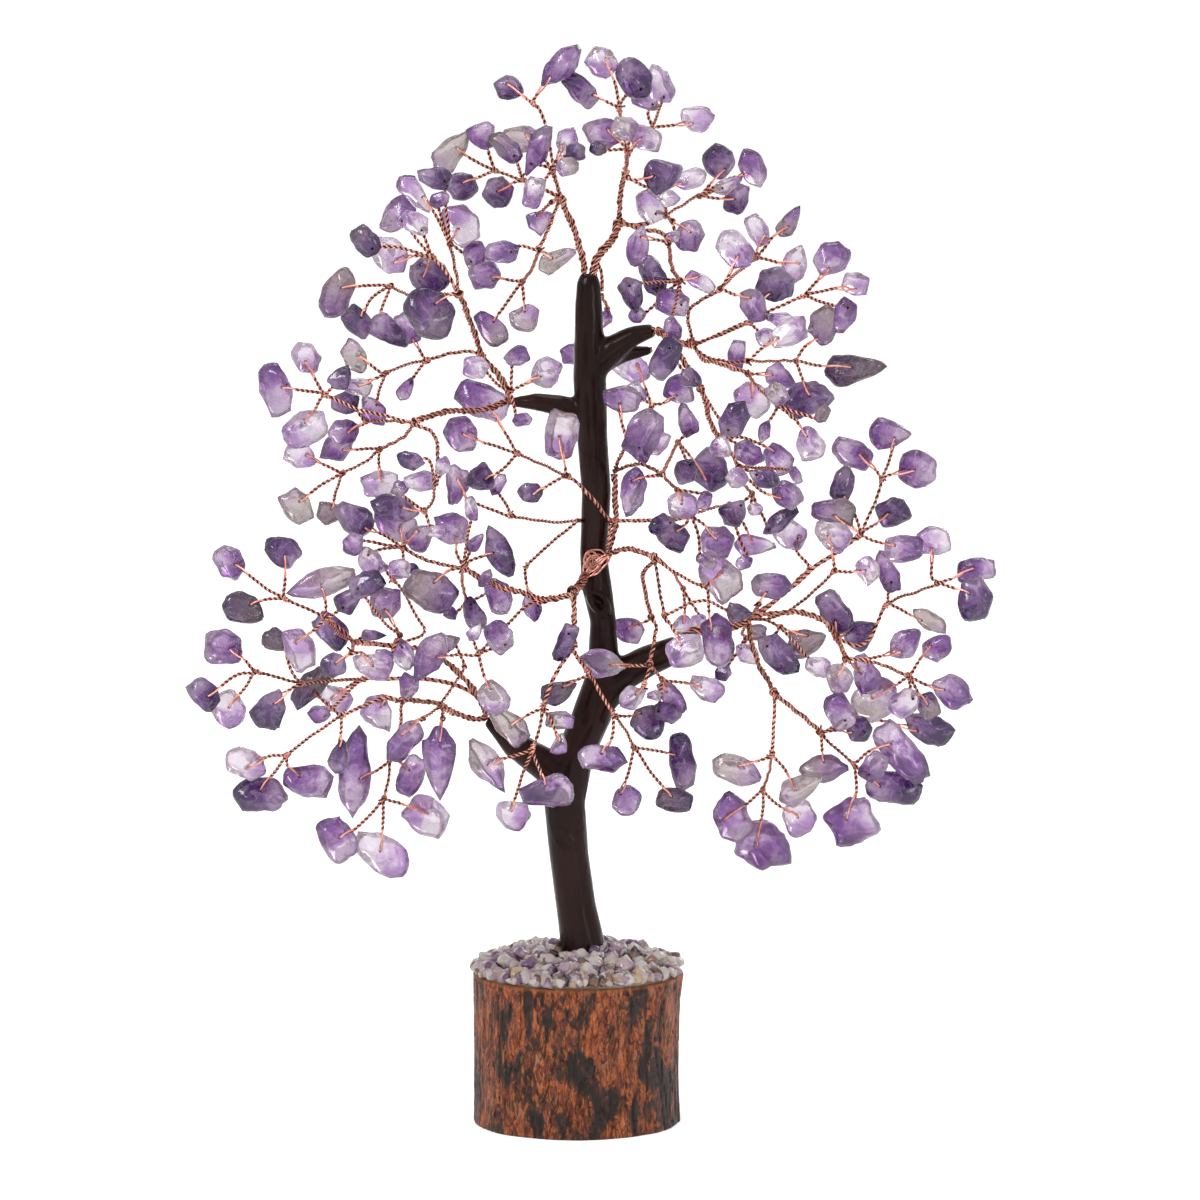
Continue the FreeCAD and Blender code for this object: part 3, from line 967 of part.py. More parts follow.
class Crown:
    """Chips are set in order; each moves back or forward until it is clear of the rest."""

    def __init__(self, forks, lines):
        self.forks, self.lines = forks, lines
        self.chips = []            # (chip, centre)
        self.twig_lines = []
        self.clashes = 0

    def clash_count(self, chip, centre, path, front):
        count = 0
        for other, other_centre in self.chips:
            if near(centre, other_centre, FORK_REACH) and chip.touches_ball(centre, other, other_centre):
                count += 2
            for a, b in zip(path, path[1:-1]):
                close = near(a, other_centre, FORK_REACH)
                if close and other.touches_wire(other_centre, a, b, PAIR_WIDTH / 2):
                    count += 1
        for a, b, reach in self.lines + self.twig_lines:
            if near(a, centre, FORK_REACH) and chip.touches_wire(centre, a, b, reach):
                count += 1
        for step in (-4.0, 0.0, 4.0):
            up = centre.z - lift() + step
            if TRUNK_OUTLINE[0][0] < up < TRUNK_OUTLINE[-1][0]:
                middle, half = trunk_at(up)
                post = V(middle, 0, centre.z + step)
                if chip.touches_wire(centre, post - V(0, 0, 2), post + V(0, 0, 2), half):
                    count += 2
        count += self.crosses_own_face(chip, centre, path, front)
        return count

    def crosses_own_face(self, chip, centre, path, front):
        start, end = path[-3], path[-2]
        count = 0
        for k in range(1, 10):
            p = start + (end - start) * (k / 10) - centre
            span = chip.through(p.dot(chip.along), p.dot(chip.beside))
            if span is None:
                continue
            room = span[0] - p.y if front else p.y - span[1]
            if room < PAIR_WIDTH / 2:
                count += 1
        return count

    def thread(self, number, fork, row):
        across, up, flat_length, flat_width, lean, tone, hook = row[:7]
        length, width = flat_length * CHIP_LENGTH_SHARE, flat_width * CHIP_WIDTH_SHARE
        tone, _, outline = tone.partition(":")
        chip = Chip(number, across, up, length, width, lean,
                    outline or OUTLINE_TURNS[number % len(OUTLINE_TURNS)])
        start = fork.slot(PAIR_WIDTH)
        bends = list(row[7:])
        seen_start = seen_from(start)
        towards = bends[-1] if bends else seen_start
        a, b = chip.hook(hook, towards)
        front = hook is not None
        near_face, far_face = chip.through(a, b)
        side = 1 if front else -1
        lay = PAIR_WIDTH / 2 + WIRE_CLEARANCE
        away = math.dist(seen_start, (across, up))
        wanted = start.y + away * (CHIP_SET_BACK * math.sin(number * 2.3) + CHIP_SIDE_LEAN * side)
        best = None
        for move in range(CHIP_MOVES):
            depth = wanted + side * move
            depth += lay - near_face if front else -lay - far_face
            centre = seen(across, up, depth)
            face = centre + chip.along * a + chip.beside * b
            over = face + V(0, near_face - lay if front else far_face + lay, 0)
            path = seen_route(start, bends + [chip.from_face(a, b)], over.y)
            path[-1] = over
            if front:
                path.append(face + V(0, far_face + WIRE_TAIL, 0))
            elif length > SMALL_CHIP:
                path.append(face + V(0, far_face - chip.thickness * BLIND_HOLE, 0))
            else:
                path[-1] = face + V(0, far_face + lay, 0)
                path.append(face + V(0, far_face + JOINT_GAP, 0))
            count = self.clash_count(chip, centre, path, front)
            if best is None or count < best[0]:
                best = (count, centre, path)
            if count == 0:
                break
        count, centre, path = best
        self.clashes += count > 0
        self.chips.append((chip, centre))
        self.twig_lines += [(p, q, PAIR_WIDTH / 2) for p, q in zip(path, path[1:-1])]
        body = hull([centre + corner for corner in chip.corners])
        drilled = front or length > SMALL_CHIP
        if drilled:
            push = (path[-1] - path[-2]).normalize()
            hole = bar([path[-2], path[-1] + push * HOLE_CLEARANCE],
                       PAIR_WIDTH + 2.6 * HOLE_CLEARANCE, 3)
            body = body.cut(hole).Solids[0]
        first = path[0] + (path[1] - path[0]).normalize() * JOINT_GAP
        return tone, body, bar([first] + path[1:], PAIR_WIDTH, 3)


def trunk_runs():
    """Bundles that lie on the trunk between the rosette and the sprigs that leave it."""
    depth = coil_depth()
    x, z, _ = STARTS["trunk_right"]
    up_side = [seen(8.1, 156.2, depth), seen(9.7, 160.5, depth + 0.4), seen(10.4, 164.5, -3.6),
               seen(10.2, 171.0, -2.7), seen(x, z - 0.8, -2.6)]
    across_front = [seen(8.3, 157.6, depth - 1.3), seen(8.8, 161.0, depth - 1.6),
                    seen(9.0, 163.7, -6.2)]
    middle, half = trunk_at(164.5)
    wrap = []
    for k in range(7):
        angle = math.radians(-25 + 230 * k / 6)
        out = half + 1.3
        wrap.append(seen(middle + math.cos(angle) * out, 164.6, math.sin(angle) * out))
    top = [seen(4.6, 235.2, 2.2), seen(6.6, 232.2, 5.2), seen(6.5, 226.9, 5.8)]
    return [bar(up_side, 2.0, 6), bar(across_front, 1.7, 4), bar(wrap, 1.4, 4), bar(top, 1.1, 4)]


def build_crown(forks, lines):
    crown = Crown(forks, lines)
    nodes = {}
    number = 0
    for limb, rows in CROWN.items():
        for name, _, _, _, chips in rows:
            for row in chips:
                number += 1
                tone, body, twig = crown.thread(number, forks[name], row)
                nodes.setdefault("%s_chips_%s" % (limb, TONES[tone]), []).append(body)
                nodes.setdefault("%s_twigs" % limb, []).append(twig)
    print("%d chips, %d not quite clear" % (number, crown.clashes))
    return nodes


# ---------------------------------------------------------------- log, glue bed and gravel
def log_radius(angle):
    wave = math.sin(3 * angle + 0.6) + 0.7 * math.sin(7 * angle) + 0.5 * math.sin(11 * angle + 2)
    return LOG_DIAMETER / 2 - LOG_WAVE + LOG_WAVE * 0.45 * wave


def log_base():
    def ring(height, inset):
        corners = []
        for k in range(BARK_FACETS):
            angle = 2 * math.pi * k / BARK_FACETS
            out = log_radius(angle) - inset
            corners.append(V(math.cos(angle) * out, math.sin(angle) * out, height))
        return Part.makePolygon(corners + [corners[0]])
    rings = [ring(0, LOG_EDGE), ring(LOG_EDGE, 0), ring(LOG_HEIGHT - LOG_EDGE, 0),
             ring(LOG_HEIGHT, LOG_EDGE)]
    log = Part.makeLoft(rings, True, True)
    return log.cut(root_hole(ROOT_HOLE_DIAMETER))


def root_hole(diameter):
    foot = trunk_foot() - V(0, 0, ROOT_HOLE_DEPTH)
    return Part.makeCylinder(diameter / 2, ROOT_HOLE_DEPTH, foot)


def bed_reach():
    return LOG_DIAMETER / 2 - 2 * LOG_WAVE - LOG_EDGE - BED_MARGIN


def bed_height(radius):
    """The glue stands highest at the trunk and runs out thin at the rim."""
    share = min(1.0, radius / bed_reach())
    return BED_RISE * (1 - BED_EDGE_DROP * share * share)


def glue_bed(trunk):
    reach = bed_reach()
    rings = [ring_wire(V(0, 0, LOG_HEIGHT), V(0, 0, 1), reach, BARK_FACETS)]
    for k in range(BED_STEPS, 0, -1):
        out = reach * k / BED_STEPS
        rings.append(ring_wire(V(0, 0, LOG_HEIGHT + bed_height(out)), V(0, 0, 1), out, BARK_FACETS))
    bed = Part.makeLoft(rings, True, True)
    return max(bed.cut(trunk).Solids, key=lambda s: s.Volume)


def gravel():
    """Crushed chips in rings on the glue bed, each standing on one corner."""
    nodes = {name: [] for name in GRAVEL_TONES}
    foot, foot_half = trunk_at(TRUNK_OUTLINE[1][0])
    placed = []
    for ring in range(GRAVEL_RINGS):
        radius = GRAVEL_SIZE * (0.15 + GRAVEL_ROW * ring)
        if radius > bed_reach() - GRAVEL_SIZE * 0.3:
            break
        count = max(1, int(2 * math.pi * radius / (GRAVEL_SIZE * GRAVEL_SPREAD)))
        for k in range(count):
            angle = 2 * math.pi * (k + 0.37 * ring) / count
            x, y = radius * math.cos(angle), radius * math.sin(angle)
            if math.hypot(x - foot, y) < foot_half + GRAVEL_SIZE * 0.75:
                continue
            placed.append((x, y, len(placed)))
    for x, y, k in placed:
        size = GRAVEL_SIZE * (0.88 + 0.1 * math.sin(k * 2.7))
        tall = size * (0.85 + 0.3 * math.sin(k * 1.9) ** 2)
        floor = LOG_HEIGHT + bed_height(math.hypot(x, y)) + GRAVEL_GAP
        base = V(x, y, floor)
        corners = [base, base + V(0.1 * size, -0.05 * size, tall)]
        for c in range(4):
            turn = k * 1.3 + math.pi / 2 * c + 0.25 * math.sin(k + c)
            out = size / 2 * (0.98 + 0.08 * math.sin(k * 0.7 + c * 2))
            rise = tall * (0.5 + 0.12 * math.sin(k * 1.1 + c * 1.9))
            corners.append(base + V(math.cos(turn) * out, math.sin(turn) * out, rise))
        nodes[GRAVEL_ORDER[k % len(GRAVEL_ORDER)]].append(hull(corners))
    return nodes


# ---------------------------------------------------------------- all together
def main():
    for name, (across, up) in (("coil_right", COIL_RIGHT), ("coil_left", COIL_LEFT)):
        STARTS[name] = (COIL_CENTRE[0] + across, COIL_CENTRE[1] + up, coil_depth())
    cores = wire_cores()
    trunk = trunk_coat(cores)
    forks, stems, lines = lay_stems()
    nodes = {
        "log_base": [log_base()],
        "root_glue": [root_hole(ROOT_HOLE_DIAMETER).cut(cores[0])],
        "glue_bed": [glue_bed(trunk)],
        "trunk_clay": [trunk],
        "trunk_wire_core": cores,
        "trunk_wire_runs": trunk_runs(),
        "rosette_coil": [rosette()],
    }
    nodes["tie_windings"] = []
    for name in ("r0", "q00"):
        fork = forks[name]
        middle = fork.point - fork.heading * TIE_BEFORE_FORK
        nodes["tie_windings"].append(tie(middle, fork.heading, bundle_width(count_pairs()[name])))
    nodes.update(gravel())
    for limb, solids in stems.items():
        nodes["%s_stems" % limb] = solids
    nodes.update(build_crown(forks, lines))
    os.makedirs("parts", exist_ok=True)
    for name, solids in nodes.items():
        shape = solids[0] if len(solids) == 1 else Part.makeCompound(solids)
        shape.exportStep("parts/%s.step" % name)


main()
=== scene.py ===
import json
import math
import random

import bpy
import numpy as np
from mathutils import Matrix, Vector, noise


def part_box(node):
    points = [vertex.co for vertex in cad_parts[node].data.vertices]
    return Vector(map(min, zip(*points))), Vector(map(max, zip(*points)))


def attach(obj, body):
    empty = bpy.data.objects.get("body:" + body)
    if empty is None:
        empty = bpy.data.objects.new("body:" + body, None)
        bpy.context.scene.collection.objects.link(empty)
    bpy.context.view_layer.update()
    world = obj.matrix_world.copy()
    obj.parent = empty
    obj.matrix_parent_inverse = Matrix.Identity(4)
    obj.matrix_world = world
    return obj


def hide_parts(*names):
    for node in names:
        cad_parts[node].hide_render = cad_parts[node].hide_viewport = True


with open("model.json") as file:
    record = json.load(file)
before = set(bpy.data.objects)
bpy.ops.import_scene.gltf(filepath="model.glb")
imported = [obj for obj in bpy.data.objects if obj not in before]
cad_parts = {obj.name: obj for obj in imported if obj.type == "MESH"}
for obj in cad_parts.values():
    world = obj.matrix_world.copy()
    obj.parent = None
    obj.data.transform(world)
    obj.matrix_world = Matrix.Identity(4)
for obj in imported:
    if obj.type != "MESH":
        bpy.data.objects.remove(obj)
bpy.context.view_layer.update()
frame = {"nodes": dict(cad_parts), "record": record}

noise.seed_set(7)       # noise_vector would differ from run to run
mm = 0.001
fullTurn = 2 * math.pi
slotOf = {s["node"]: s["material_slot"] for s in frame["record"]["subparts"]}
print("frame loaded:", len(frame["nodes"]), "nodes")


def unit(way):
    return way / max(np.linalg.norm(way), 1e-12)


def units(rows, least=1e-12):
    return rows / np.maximum(np.linalg.norm(rows, axis=1), least)[:, None]


def around(angle, u, v):
    return u * np.cos(angle)[:, None] + v * np.sin(angle)[:, None]


# two directions across a way, the first one square to a hint too
def acrossWay(way, hint):
    side = np.cross(way, hint)
    side /= np.linalg.norm(side)
    return side, np.cross(way, side)


def readRows(items, key, kind=np.float32):
    flat = np.empty(len(items) * 3, kind)
    items.foreach_get(key, flat)
    return flat.reshape(-1, 3)


# length along a line from its start, with its steps weighed by direction
def lengthAlong(line, weights=(1, 1, 1)):
    return np.concatenate([[0], np.cumsum(np.linalg.norm(np.diff(line, axis=0) * weights, axis=1))])


class Groups:
    # numbers joined into groups
    def __init__(self, count):
        self.root = list(range(count))

    def find(self, i):
        while self.root[i] != i:
            self.root[i] = self.root[self.root[i]]
            i = self.root[i]
        return i

    def join(self, a, b):
        self.root[self.find(a)] = self.find(b)

    def places(self, members):
        rows = {}
        for place, member in enumerate(members):
            rows.setdefault(self.find(member), []).append(place)
        return rows


# reading the solids of a CAD node; 'ringReach' and 'fold' are in millimetres
readLook = {"decimals": 6, "samePlane": 0.99995, "evenReach": 1.04, "square": 0.02,
            "ringReach": 1.25, "fold": 0.1}


# welded points and triangles of each solid
def looseSolids(node):
    mesh = frame["nodes"][node].data
    mesh.calc_loop_triangles()
    rounded = np.round(readRows(mesh.vertices, "co").astype(float), readLook["decimals"])
    spots, weld = np.unique(rounded, axis=0, return_inverse=True)
    tri = weld.reshape(-1)[readRows(mesh.loop_triangles, "vertices", np.int32)]
    tri = tri[(tri[:, 0] != tri[:, 1]) & (tri[:, 1] != tri[:, 2]) & (tri[:, 0] != tri[:, 2])]
    groups = Groups(len(spots))
    for a, b, c in tri:
        groups.join(a, b)
        groups.join(b, c)
    solids = []
    for _, rows in sorted(groups.places(tri[:, 0]).items()):
        used, local = np.unique(tri[rows], return_inverse=True)
        solids.append((spots[used], local.reshape(-1, 3)))
    return solids


def faceNormals(points, faces):
    a, b, c = points[faces[:, 0]], points[faces[:, 1]], points[faces[:, 2]]
    return units(np.cross(b - a, c - a), 1e-15)


# the centreline and width of a bent flat-sided bar, ring by ring from one end cap to the other
def barLine(points, faces):
    normals = faceNormals(points, faces)
    beside = [set() for _ in points]
    byEdge = {}
    for f, (a, b, c) in enumerate(faces):
        for u, v in ((a, b), (b, c), (c, a)):
            beside[u].add(v)
            beside[v].add(u)
            byEdge.setdefault((min(u, v), max(u, v)), []).append(f)
    flat = Groups(len(faces))
    for pair in byEdge.values():
        if len(pair) == 2 and normals[pair[0]] @ normals[pair[1]] > readLook["samePlane"]:
            flat.join(*pair)
    plates = [set(faces[plate].ravel()) for plate in flat.places(range(len(faces))).values()]
    for sides in (3, 4, 6):
        if len(points) % sides:
            continue
        for corners in plates:
            cap = points[sorted(corners)]
            reach = np.linalg.norm(cap - cap.mean(0), axis=1)
            if len(corners) != sides or reach.max() > reach.min() * readLook["evenReach"]:
                continue
            layers, seen = [corners], set(corners)
            while len(seen) < len(points):
                nxt = set().union(*(beside[i] for i in layers[-1])) - seen
                if len(nxt) != sides:
                    break
                layers.append(nxt)
                seen |= nxt
            if len(seen) == len(points) and len(layers) > 1:
                line = np.array([points[sorted(ring)].mean(0) for ring in layers])
                across = line[1] - line[0]
                if abs((cap[0] - cap.mean(0)) @ across) < readLook["square"] * np.linalg.norm(across) * reach.max():
                    return line, 2 * reach.mean()
    return None


# a bar folded on itself behind a small chip: its rings by nearness, the crowded one last
def roughLine(points):
    left, rings = list(range(len(points))), []
    while left:
        near = [i for i in left if np.linalg.norm(points[i] - points[left[0]]) < readLook["ringReach"] * mm]
        rings.append((points[near].mean(0), len(near)))
        left = [i for i in left if i not in near]
    rings.sort(key=lambda ring: ring[1])
    line, rest = [rings[-1][0]], [ring[0] for ring in rings[:-1]]
    while rest:
        rest.sort(key=lambda p: np.linalg.norm(p - line[-1]))
        line.append(rest.pop(0))
    return np.array(line[::-1] + [line[0] - np.array([0, readLook["fold"] * mm, 0])])


# cuts a route's corners twice, ends kept, then steps along it evenly
def smoothLine(route, step):
    p = np.array(route, float)
    for _ in range(2):
        if len(p) < 3:
            break
        a, b = p[:-1], p[1:]
        mid = np.empty((2 * len(a), 3))
        mid[0::2] = a * 0.75 + b * 0.25
        mid[1::2] = a * 0.25 + b * 0.75
        mid[0], mid[-1] = p[0], p[-1]
        p = mid
    p = p[np.concatenate([[True], np.linalg.norm(np.diff(p, axis=0), axis=1) > 1e-9])]
    run = lengthAlong(p)
    at = np.linspace(0, run[-1], max(2, int(round(run[-1] / step)) + 1))
    return np.stack([np.interp(at, run, p[:, k]) for k in range(3)], 1)


# the direction of a line and two directions across it at each of its points, without twist
def carryFrames(line):
    along = units(np.gradient(line, axis=0))
    side = np.cross(along[0], [0, 1, 0] if abs(along[0][1]) < 0.9 else [0, 0, 1])
    sides = [side / np.linalg.norm(side)]
    for t in along[1:]:
        sides.append(unit(sides[-1] - t * (sides[-1] @ t)))
    return along, np.array(sides), np.cross(along, sides)


class MeshMaker:
    # gathers points, four- and three-cornered faces and one colour per point, for one object per node
    def __init__(self):
        self.points, self.quads, self.tris, self.tints, self.count = [], [], [], [], 0

    def add(self, points, quads, tris, tint):
        self.points.append(np.asarray(points, float))
        self.quads.append(np.asarray(quads, int).reshape(-1, 4) + self.count)
        self.tris.append(np.asarray(tris, int).reshape(-1, 3) + self.count)
        self.tints.append(np.asarray(tint, float))
        self.count += len(points)

    def build(self, name, node):
        mesh = bpy.data.meshes.new(name)
        quads, tris = np.concatenate(self.quads), np.concatenate(self.tris)
        mesh.vertices.add(self.count)
        mesh.vertices.foreach_set("co", np.concatenate(self.points).astype(np.float32).ravel())
        corners = np.concatenate([quads.ravel(), tris.ravel()]).astype(np.int32)
        mesh.loops.add(len(corners))
        mesh.loops.foreach_set("vertex_index", corners)
        mesh.polygons.add(len(quads) + len(tris))
        starts = np.concatenate([np.arange(len(quads)) * 4, len(quads) * 4 + np.arange(len(tris)) * 3])
        mesh.polygons.foreach_set("loop_start", starts.astype(np.int32))
        mesh.update(calc_edges=True)
        tint = mesh.color_attributes.new("tint", "FLOAT_COLOR", "POINT")
        tint.data.foreach_set("color", np.concatenate(self.tints).astype(np.float32).ravel())
        piece = bpy.data.objects.new(name, mesh)
        bpy.context.scene.collection.objects.link(piece)
        handIn(piece, node)


# a drawn piece takes its node's place and material
def handIn(piece, node):
    piece.data.polygons.foreach_set("use_smooth", [True] * len(piece.data.polygons))
    piece.data.materials.clear()
    piece.data.materials.append(materials[slotOf[node]])
    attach(piece, "root")
    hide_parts(node)


class Wiring:
    # short ways to add and join the nodes of one tree
    def __init__(self, tree):
        self.tree = tree

    def feed(self, socket, value):
        if isinstance(value, tuple):
            socket.default_value = value + (1,) if len(value) == 3 else value
        elif isinstance(value, (int, float)):
            socket.default_value = value
        else:
            self.tree.links.new(value, socket)

    def add(self, kind, **values):
        node = self.tree.nodes.new("ShaderNode" + kind)
        for key, value in values.items():
            if hasattr(node, key):
                setattr(node, key, value)
            else:
                self.feed(node.inputs[key.replace("_", " ")], value)
        return node

    def inOrder(self, node, *values):
        for socket, value in zip(node.inputs, values):
            self.feed(socket, value)
        return node.outputs[0]

    def mix(self, share, first, second, blend="MIX"):
        node = self.add("Mix", data_type="RGBA", blend_type=blend, clamp_result=True)
        for place, value in ((0, share), (6, first), (7, second)):
            self.feed(node.inputs[place], value)
        return node.outputs[2]

    def calc(self, operation, *values, clamp=False):
        return self.inOrder(self.add("Math", operation=operation, use_clamp=clamp), *values)

    # first + share * other, for each pair of other and share
    def total(self, first, *others):
        for other, share in others:
            first = self.calc("MULTIPLY_ADD", other, share, first)
        return first

    def span(self, value, low, high, toLow=0.0, toHigh=1.0):
        return self.inOrder(self.add("MapRange"), value, low, high, toLow, toHigh)

    def over(self, base, value, low, high, colour):
        return self.mix(self.span(value, low, high), base, colour)


# a group that several materials use: soft blotches, fine grain and thin veins in one place
def makeMottleGroup():
    group = bpy.data.node_groups.new("mottle", "ShaderNodeTree")
    for name, value in (("Blotch Size", 200.0), ("Grain Size", 2000.0), ("Stretch", 1.0), ("Warp", 0.3)):
        group.interface.new_socket(name, in_out="INPUT", socket_type="NodeSocketFloat").default_value = value
    group.interface.new_socket("Offset", in_out="INPUT", socket_type="NodeSocketVector")
    for name in ("Blotch", "Grain", "Vein"):
        group.interface.new_socket(name, in_out="OUTPUT", socket_type="NodeSocketFloat")
    into, out = group.nodes.new("NodeGroupInput").outputs, group.nodes.new("NodeGroupOutput").inputs
    wiring = Wiring(group)
    place = wiring.add("TexCoord").outputs["Object"]
    shift = wiring.inOrder(wiring.add("VectorMath", operation="ADD"), place, into["Offset"])
    scale = wiring.add("CombineXYZ", X=1.0, Y=1.0, Z=into["Stretch"]).outputs[0]
    squeeze = wiring.inOrder(wiring.add("VectorMath", operation="MULTIPLY"), shift, scale)
    for name, detail, roughness in (("Blotch", 4, 0.55), ("Grain", 6, 0.65)):
        cloud = wiring.add("TexNoise", Detail=detail, Roughness=roughness, Vector=squeeze,
                           Scale=into[name + " Size"], Distortion=into["Warp"])
        wiring.feed(out[name], cloud.outputs["Fac"])
    vein = wiring.add("TexNoise", Detail=3, Roughness=0.5, Distortion=1.2, Vector=squeeze, Scale=into["Blotch Size"])
    ridge = wiring.calc("ABSOLUTE", wiring.calc("SUBTRACT", vein.outputs["Fac"], 0.5))
    wiring.feed(out["Vein"], wiring.span(ridge, 0.0, 0.03, 1.0, 0.0))
    return group


mottle = makeMottleGroup()
materials = {}


class Paint(Wiring):
    # one material round its Principled shader
    def __init__(self, name):
        material = bpy.data.materials.new(name)
        material.use_nodes = True
        materials[name] = material
        super().__init__(material.node_tree)
        self.shader = self.tree.nodes["Principled BSDF"]

    # what a mesh's "tint" says: red, green, blue and alpha
    def tint(self):
        tint = self.add("Attribute", attribute_name="tint")
        parts = self.add("SeparateColor", Color=tint.outputs["Color"]).outputs
        return parts[0], parts[1], parts[2], tint.outputs["Alpha"]

    def mottle(self, blotch, grain, **values):
        node = self.add("Group", node_tree=mottle)
        for name, value in (("Blotch Size", blotch), ("Grain Size", grain), *values.items()):
            self.feed(node.inputs[name], value)
        return node.outputs

    def set(self, **values):
        for key, value in values.items():
            self.feed(self.shader.inputs[key.replace("_", " ")], value)

    def bump(self, height, strength, distance):
        self.set(Normal=self.add("Bump", Strength=strength, Distance=distance, Height=height).outputs[0])


# amethyst and quartz: tint.r is a chip's own number, tint.g the place along it,
# tint.b the cloudiness near its skin, tint.a the painted shade inside a drilled hole
stoneLooks = {
    "amethyst_deep": {"core": (0.060, 0.015, 0.115), "mid": (0.170, 0.058, 0.250), "end": (0.48, 0.34, 0.53),
                      "smoky": (0.16, 0.10, 0.145), "purple": 0.66, "through": 0.55},
    "amethyst_violet": {"core": (0.19, 0.066, 0.29), "mid": (0.36, 0.170, 0.44), "end": (0.66, 0.51, 0.69),
                        "smoky": (0.33, 0.24, 0.27), "purple": 0.58, "through": 0.68},
    "amethyst_pale": {"core": (0.45, 0.255, 0.55), "mid": (0.64, 0.45, 0.70), "end": (0.84, 0.75, 0.84),
                      "smoky": (0.55, 0.47, 0.46), "purple": 0.44, "through": 0.74},
    "quartz_clear": {"core": (0.86, 0.69, 0.60), "mid": (0.94, 0.83, 0.75), "end": (0.98, 0.92, 0.87),
                     "smoky": (0.86, 0.62, 0.38), "purple": 0.3, "through": 0.38},
    "quartz_lilac": {"core": (0.64, 0.43, 0.56), "mid": (0.80, 0.61, 0.65), "end": (0.93, 0.81, 0.77),
                     "smoky": (0.78, 0.56, 0.42), "purple": 0.42, "through": 0.42},
    "quartz_violet": {"core": (0.22, 0.095, 0.27), "mid": (0.41, 0.23, 0.39), "end": (0.74, 0.57, 0.60),
                      "smoky": (0.50, 0.28, 0.20), "purple": 0.5, "through": 0.5},
    "quartz_dark": {"core": (0.020, 0.016, 0.022), "mid": (0.060, 0.040, 0.050), "end": (0.26, 0.13, 0.085),
                    "smoky": (0.20, 0.085, 0.05), "purple": 0.5, "through": 0.2},
}
# 'hole' is the colour of the shade painted inside a drilled hole
stoneMarks = {"vein": (0.93, 0.90, 0.95), "veins": 0.20, "hole": (0.06, 0.03, 0.04), "ior": 1.54}


def makeStone(name, look):
    paint = Paint(name)
    number, along, cloud, hole = paint.tint()
    offset = paint.add("CombineXYZ", X=number, Y=paint.calc("MULTIPLY", number, 0.37)).outputs[0]
    zones = paint.mottle(210, 900, Warp=0.9, Offset=offset)
    # colour runs along the chip from purple to a clear or smoky end, broken up by clouds
    run = paint.total(along, (paint.calc("SUBTRACT", zones["Blotch"], 0.5), 1.5))
    body = paint.over(look["mid"], run, look["purple"] - 0.12, look["purple"] + 0.16, look["end"])
    deep = paint.span(paint.total(run, (cloud, -0.45)), 0.0, 0.32, 1.0, 0.0)
    body = paint.mix(deep, body, look["core"])
    chance = paint.calc("FRACT", paint.calc("MULTIPLY", number, 7.31))
    body = paint.over(body, paint.total(chance, (along, 0.30)), 0.93, 1.12, look["smoky"])
    body = paint.mix(paint.calc("MULTIPLY", zones["Vein"], stoneMarks["veins"]), body, stoneMarks["vein"])
    body = paint.mix(1.0, body, paint.span(zones["Grain"], 0.3, 0.75, 0.90, 1.10), "MULTIPLY")
    paint.set(Base_Color=paint.mix(hole, body, stoneMarks["hole"]), IOR=stoneMarks["ior"],
              Roughness=paint.span(zones["Grain"], 0.35, 0.75, 0.04, 0.20), Transmission_Weight=look["through"])
    paint.bump(paint.total(zones["Blotch"], (zones["Grain"], 0.12)), 0.35, 0.0005)


# 'shade' is the colour of the shade painted between strands
copperLook = {"bright": (0.95, 0.485, 0.385), "warm": (0.56, 0.185, 0.135), "shade": (0.032, 0.008, 0.006),
              "sheen": (0.80, 0.52, 0.45)}


# tint.r is the shade painted between strands and in a twist's middle, where the wire is also dull, so that it shows
# no white edge
def makeCopper():
    paint = Paint("copper_wire")
    dark = paint.tint()[0]
    spots = paint.mottle(350, 2500)
    metal = paint.over(copperLook["bright"], spots["Blotch"], 0.35, 0.7, copperLook["warm"])
    paint.set(Base_Color=paint.mix(dark, metal, copperLook["shade"]),
              Metallic=paint.calc("SUBTRACT", 1.0, dark, clamp=True),
              Roughness=paint.total(paint.span(spots["Grain"], 0.3, 0.7, 0.18, 0.34), (dark, 0.45)),
              Specular_IOR_Level=0.2, Specular_Tint=copperLook["sheen"])


clayLook = {"dark": (0.0115, 0.0036, 0.0031), "brown": (0.035, 0.0128, 0.0098)}


def makeClay():
    paint = Paint("brown_clay")
    marks = paint.mottle(90, 700, Stretch=0.35, Warp=0.4)
    paint.set(Base_Color=paint.over(clayLook["dark"], marks["Blotch"], 0.3, 0.7, clayLook["brown"]),
              Roughness=paint.span(marks["Grain"], 0.3, 0.7, 0.16, 0.28), Specular_IOR_Level=0.13)
    paint.bump(paint.total(marks["Blotch"], (marks["Grain"], 0.15)), 0.30, 0.0007)


barkLook = {"orange": (0.58, 0.158, 0.046), "tan": (0.64, 0.280, 0.150), "red": (0.200, 0.044, 0.024),
            "dark": (0.062, 0.027, 0.018), "black": (0.018, 0.010, 0.008),
            "sawn": (0.62, 0.36, 0.19), "ring": (0.40, 0.21, 0.11), "cutEdge": (0.56, 0.19, 0.055)}


